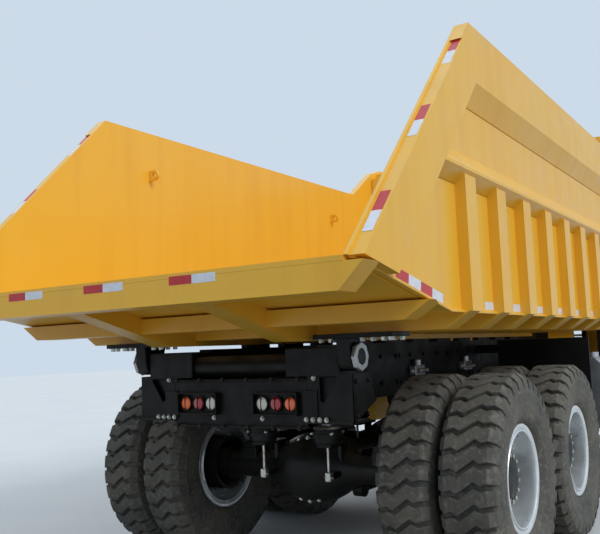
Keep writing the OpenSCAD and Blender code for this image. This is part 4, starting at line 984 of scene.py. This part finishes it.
# %% [markdown]
# Two rows of bolts hold the cross members to the frame's rails, with a second pair at every third
# station.

# %% Bolts of the frame's rails
rail_x, rail_rows, stations = 0.500, (1.30, 1.50), 27
first_station, station_pitch, pair_gap = frame_rear + 0.12, 0.26, 0.06
rail_bolts = []
for sign in (-1, 1):
    for station in range(stations):
        y = first_station + station * station_pitch
        for z in rail_rows:
            rail_bolts.append(((sign * rail_x, y, z), (sign, 0, 0)))
            if station % 3 == 1:
                rail_bolts.append(((sign * rail_x, y + pair_gap, z), (sign, 0, 0)))
finished(bolts_at(rail_bolts, rail_bolt), "rail_bolts", "chassis", "axle_paint", axle_black)

# %% [markdown]
# The body's two hinges are thick ears under a bolted flange. An ear is traced as a half circle round
# the pin, closed by the flange.

# %% Body hinges
ear_r, ear_steps, flange_t = 0.088, 12, 0.030
flange_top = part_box("bed_hinges")[1][2]
flange_low = flange_top - flange_t
hinge_flange = ((0.63, 1.18), (hinge.y - 0.10, hinge.y + 0.14), (flange_low, flange_top))
ear_x, flange_bolt_x, flange_bolt_y = (0.793, 0.885), (0.67, 0.74, 0.96, 1.03, 1.10, 1.15), (-0.06, 0.09)
half_circle = [-math.pi * step / ear_steps for step in range(ear_steps + 1)]
ear = [(hinge.y - 0.096, flange_low + 0.001), (hinge.y + 0.128, flange_low + 0.001)]
ear += [(hinge.y + ear_r * math.cos(turn), hinge.z + ear_r * math.sin(turn)) for turn in half_circle]
hinge_parts, hinge_bolts = [], []
for sign in (-1, 1):
    hinge_parts += [side_block(sign, *hinge_flange), side_plate(ear, span(sign, *ear_x), 0.004)]
    for x in flange_bolt_x:
        hinge_bolts += [((sign * x, hinge.y + y, flange_low), (0, 0, -1)) for y in flange_bolt_y]
finished(hinge_parts, "hinge_ears", "bed", "chassis_paint", black, "bed_hinges")
finished(bolts_at(hinge_bolts, flange_bolt), "hinge_bolts", "bed", "rim", zinc)

# %% [markdown]
# Each tail lamp is a black ring with a coloured lens that a thin web divides. From the outside in they
# are amber, red and clear. The headlamps are larger and clear.

# %% Lamps
tail_lamps, tail_lamp_r = ((0.431, "amber"), (0.321, "red"), (0.212, "clear")), 0.050
headlamp_r, headlamp_z, headlamp_y = 0.085, 1.010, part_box("lamps")[1][1] - 0.062
shells, webs = [], []
lenses = {"amber": [], "red": [], "clear": []}


def lamp(at, facing, radius, colour):
    ring = [(0, radius * 0.80), (0, radius), (0.020, radius), (0.024, radius * 0.97),
            (0.024, radius * 0.88), (0.016, radius * 0.85)]
    dome = [(0, 0), (0, radius * 0.84), (0.016, radius * 0.84), (0.024, radius * 0.74),
            (0.030, radius * 0.40), (0.032, 0)]
    shells.append(turned(closed(ring), at, facing))
    lenses[colour].append(turned(dome, at, facing))
    web_half, web_reach = radius * 0.045, radius * 0.80
    web = block_between((0, -web_half, -web_reach), (0.0345, web_half, web_reach), 0.0)
    webs.append(stand(web, at, facing))


for sign in (-1, 1):
    for x, colour in tail_lamps:
        lamp((sign * x, board - 0.006, lamp_z), (0, -1, 0), tail_lamp_r, colour)
    for x in (1.010, 1.240):
        lamp((sign * x, headlamp_y, headlamp_z), (0, 1, 0), headlamp_r, "clear")
finished(shells + webs, "lamp_rims", "chassis", "chassis_paint", black, "lamps")
for colour, finish in (("amber", amber_lens), ("red", red_lens), ("clear", clear_lens)):
    finished(lenses[colour], colour + "_lenses", "chassis", "lamp", finish, "lamps")
print("lamps fitted")

# %% [markdown]
# Red and white tapes mark the truck's outline at night: on the lip, up the posts, along the rising
# tail and behind the ribs. They are thin strips, half sunk in the paint. A narrow flange, which the
# photograph shows as a light line, closes each wall at its foot.

# %% Reflector tapes and foot flanges
tape_half, tape_length, lip_tape_w, post_tape_w = 0.0006, 0.15, 0.045, 0.055
tail_tape_w, rib_tape_w, tail_tape_length = 0.052, 0.050, 0.145
lip_tape_x, lip_tape_z, post_tape_z = (-0.598, 0.045, 0.670), 1.9425, (3.180, 2.640, 2.090)
tail_tape_y, tail_tape_z, rib_tape_y, rib_tape_z = -4.05, 1.933, -0.155, 0.042
strips = {"red": [], "white": []}
lip_y, skin_x, post_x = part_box("bed_side_right")[0][1], 1.553, 1.591
tail_z, knee_y, floor_z, wall_front_y, post_slope = 1.980, -3.410, 1.758, 1.45, 1.0233
rib_start, rib_pitch = -3.217, 0.552
tail_run = Vector((0, knee_y - lip_y, floor_z - tail_z))
post_run = Vector((0, 1.0, post_slope)).normalized()


def tape(at, along, length, width, colour, lying=False):
    half = (width / 2, tape_half) if lying else (tape_half, width / 2)
    strip = block_between((0, -half[0], -half[1]), (length, half[0], half[1]), 0.0)
    strips[colour].append(stand(strip, at, along))


for x in lip_tape_x:
    tape((x - tape_length, lip_y, lip_tape_z), (1, 0, 0), tape_length, lip_tape_w, "red")
    tape((x, lip_y, lip_tape_z), (1, 0, 0), tape_length, lip_tape_w, "white")
flanges = []
for sign in (-1, 1):
    for z in post_tape_z:
        low = Vector((sign * post_x, lip_y + 0.0155 + (z - tail_z) / post_slope, z))
        tape(low, post_run, tape_length, post_tape_w, "white", lying=True)
        tape(low + tape_length * post_run, post_run, tape_length, post_tape_w, "red", lying=True)
    along = tail_run.normalized()
    for place, colour in enumerate(("red", "white", "red", "white")):
        at = Vector((sign * skin_x, tail_tape_y, tail_tape_z)) + place * tail_tape_length * along
        tape(at, along, tail_tape_length, tail_tape_w, colour)
    for rib in range(1, 7):
        at = (sign * skin_x, rib_start + rib_pitch * rib + rib_tape_y, floor_z + rib_tape_z)
        tape(at, (0, 1, 0), tape_length, rib_tape_w, "white")
    flanges.append(side_block(sign, (1.540, 1.576), (knee_y, wall_front_y),
                              (floor_z - 0.008, floor_z + 0.008)))
    rising = block_between((0.03, -0.018, -0.008), (tail_run.length + 0.002, 0.018, 0.008), 0.003)
    flanges.append(stand(rising, (sign * 1.558, lip_y, tail_z), tail_run))
finished(strips["red"], "red_tapes", "bed", "lamp", red_tape)
finished(strips["white"], "white_tapes", "bed", "lamp", white_tape)
finished(flanges, "wall_foot_flanges", "bed", "body_paint", enamel)
print("tapes:", len(strips["red"]), "red and", len(strips["white"]), "white")

# %% [markdown]
# On the frame's sides sit the relay valves of the brakes, with bright unions where the hoses of the
# real truck go.

# %% Relay valves
valve_dome = [(0, 0), (0, 0.034), (0.040, 0.034), (0.048, 0.026), (0.048, 0)]
valve_x, valve_y, valve_z, valve_half = (0.498, 0.560), (-1.62, -0.55), (1.335, 1.415), 0.09
dome_x, dome_z, union_z, union_start, union_pitch = 0.530, 1.414, 1.372, -0.066, 0.044
valve_parts, unions = [], []
for y in valve_y:
    for sign in (-1, 1):
        valve_parts.append(side_block(sign, valve_x, (y - valve_half, y + valve_half), valve_z, 0.006))
        valve_parts.append(turned(valve_dome, (sign * dome_x, y, dome_z), (0, 0, 1), 20))
        for step in range(4):
            union_y = y + union_start + step * union_pitch
            unions.append(((sign * valve_x[1], union_y, union_z), (sign, 0, 0)))
        unions += [((sign * dome_x, y + way * valve_half, union_z), (0, way, 0)) for way in (1, -1)]
finished(valve_parts, "relay_valves", "chassis", "tank", tank_metal)
finished(bolts_at(unions, hose_union), "valve_unions", "chassis", "rim", zinc)
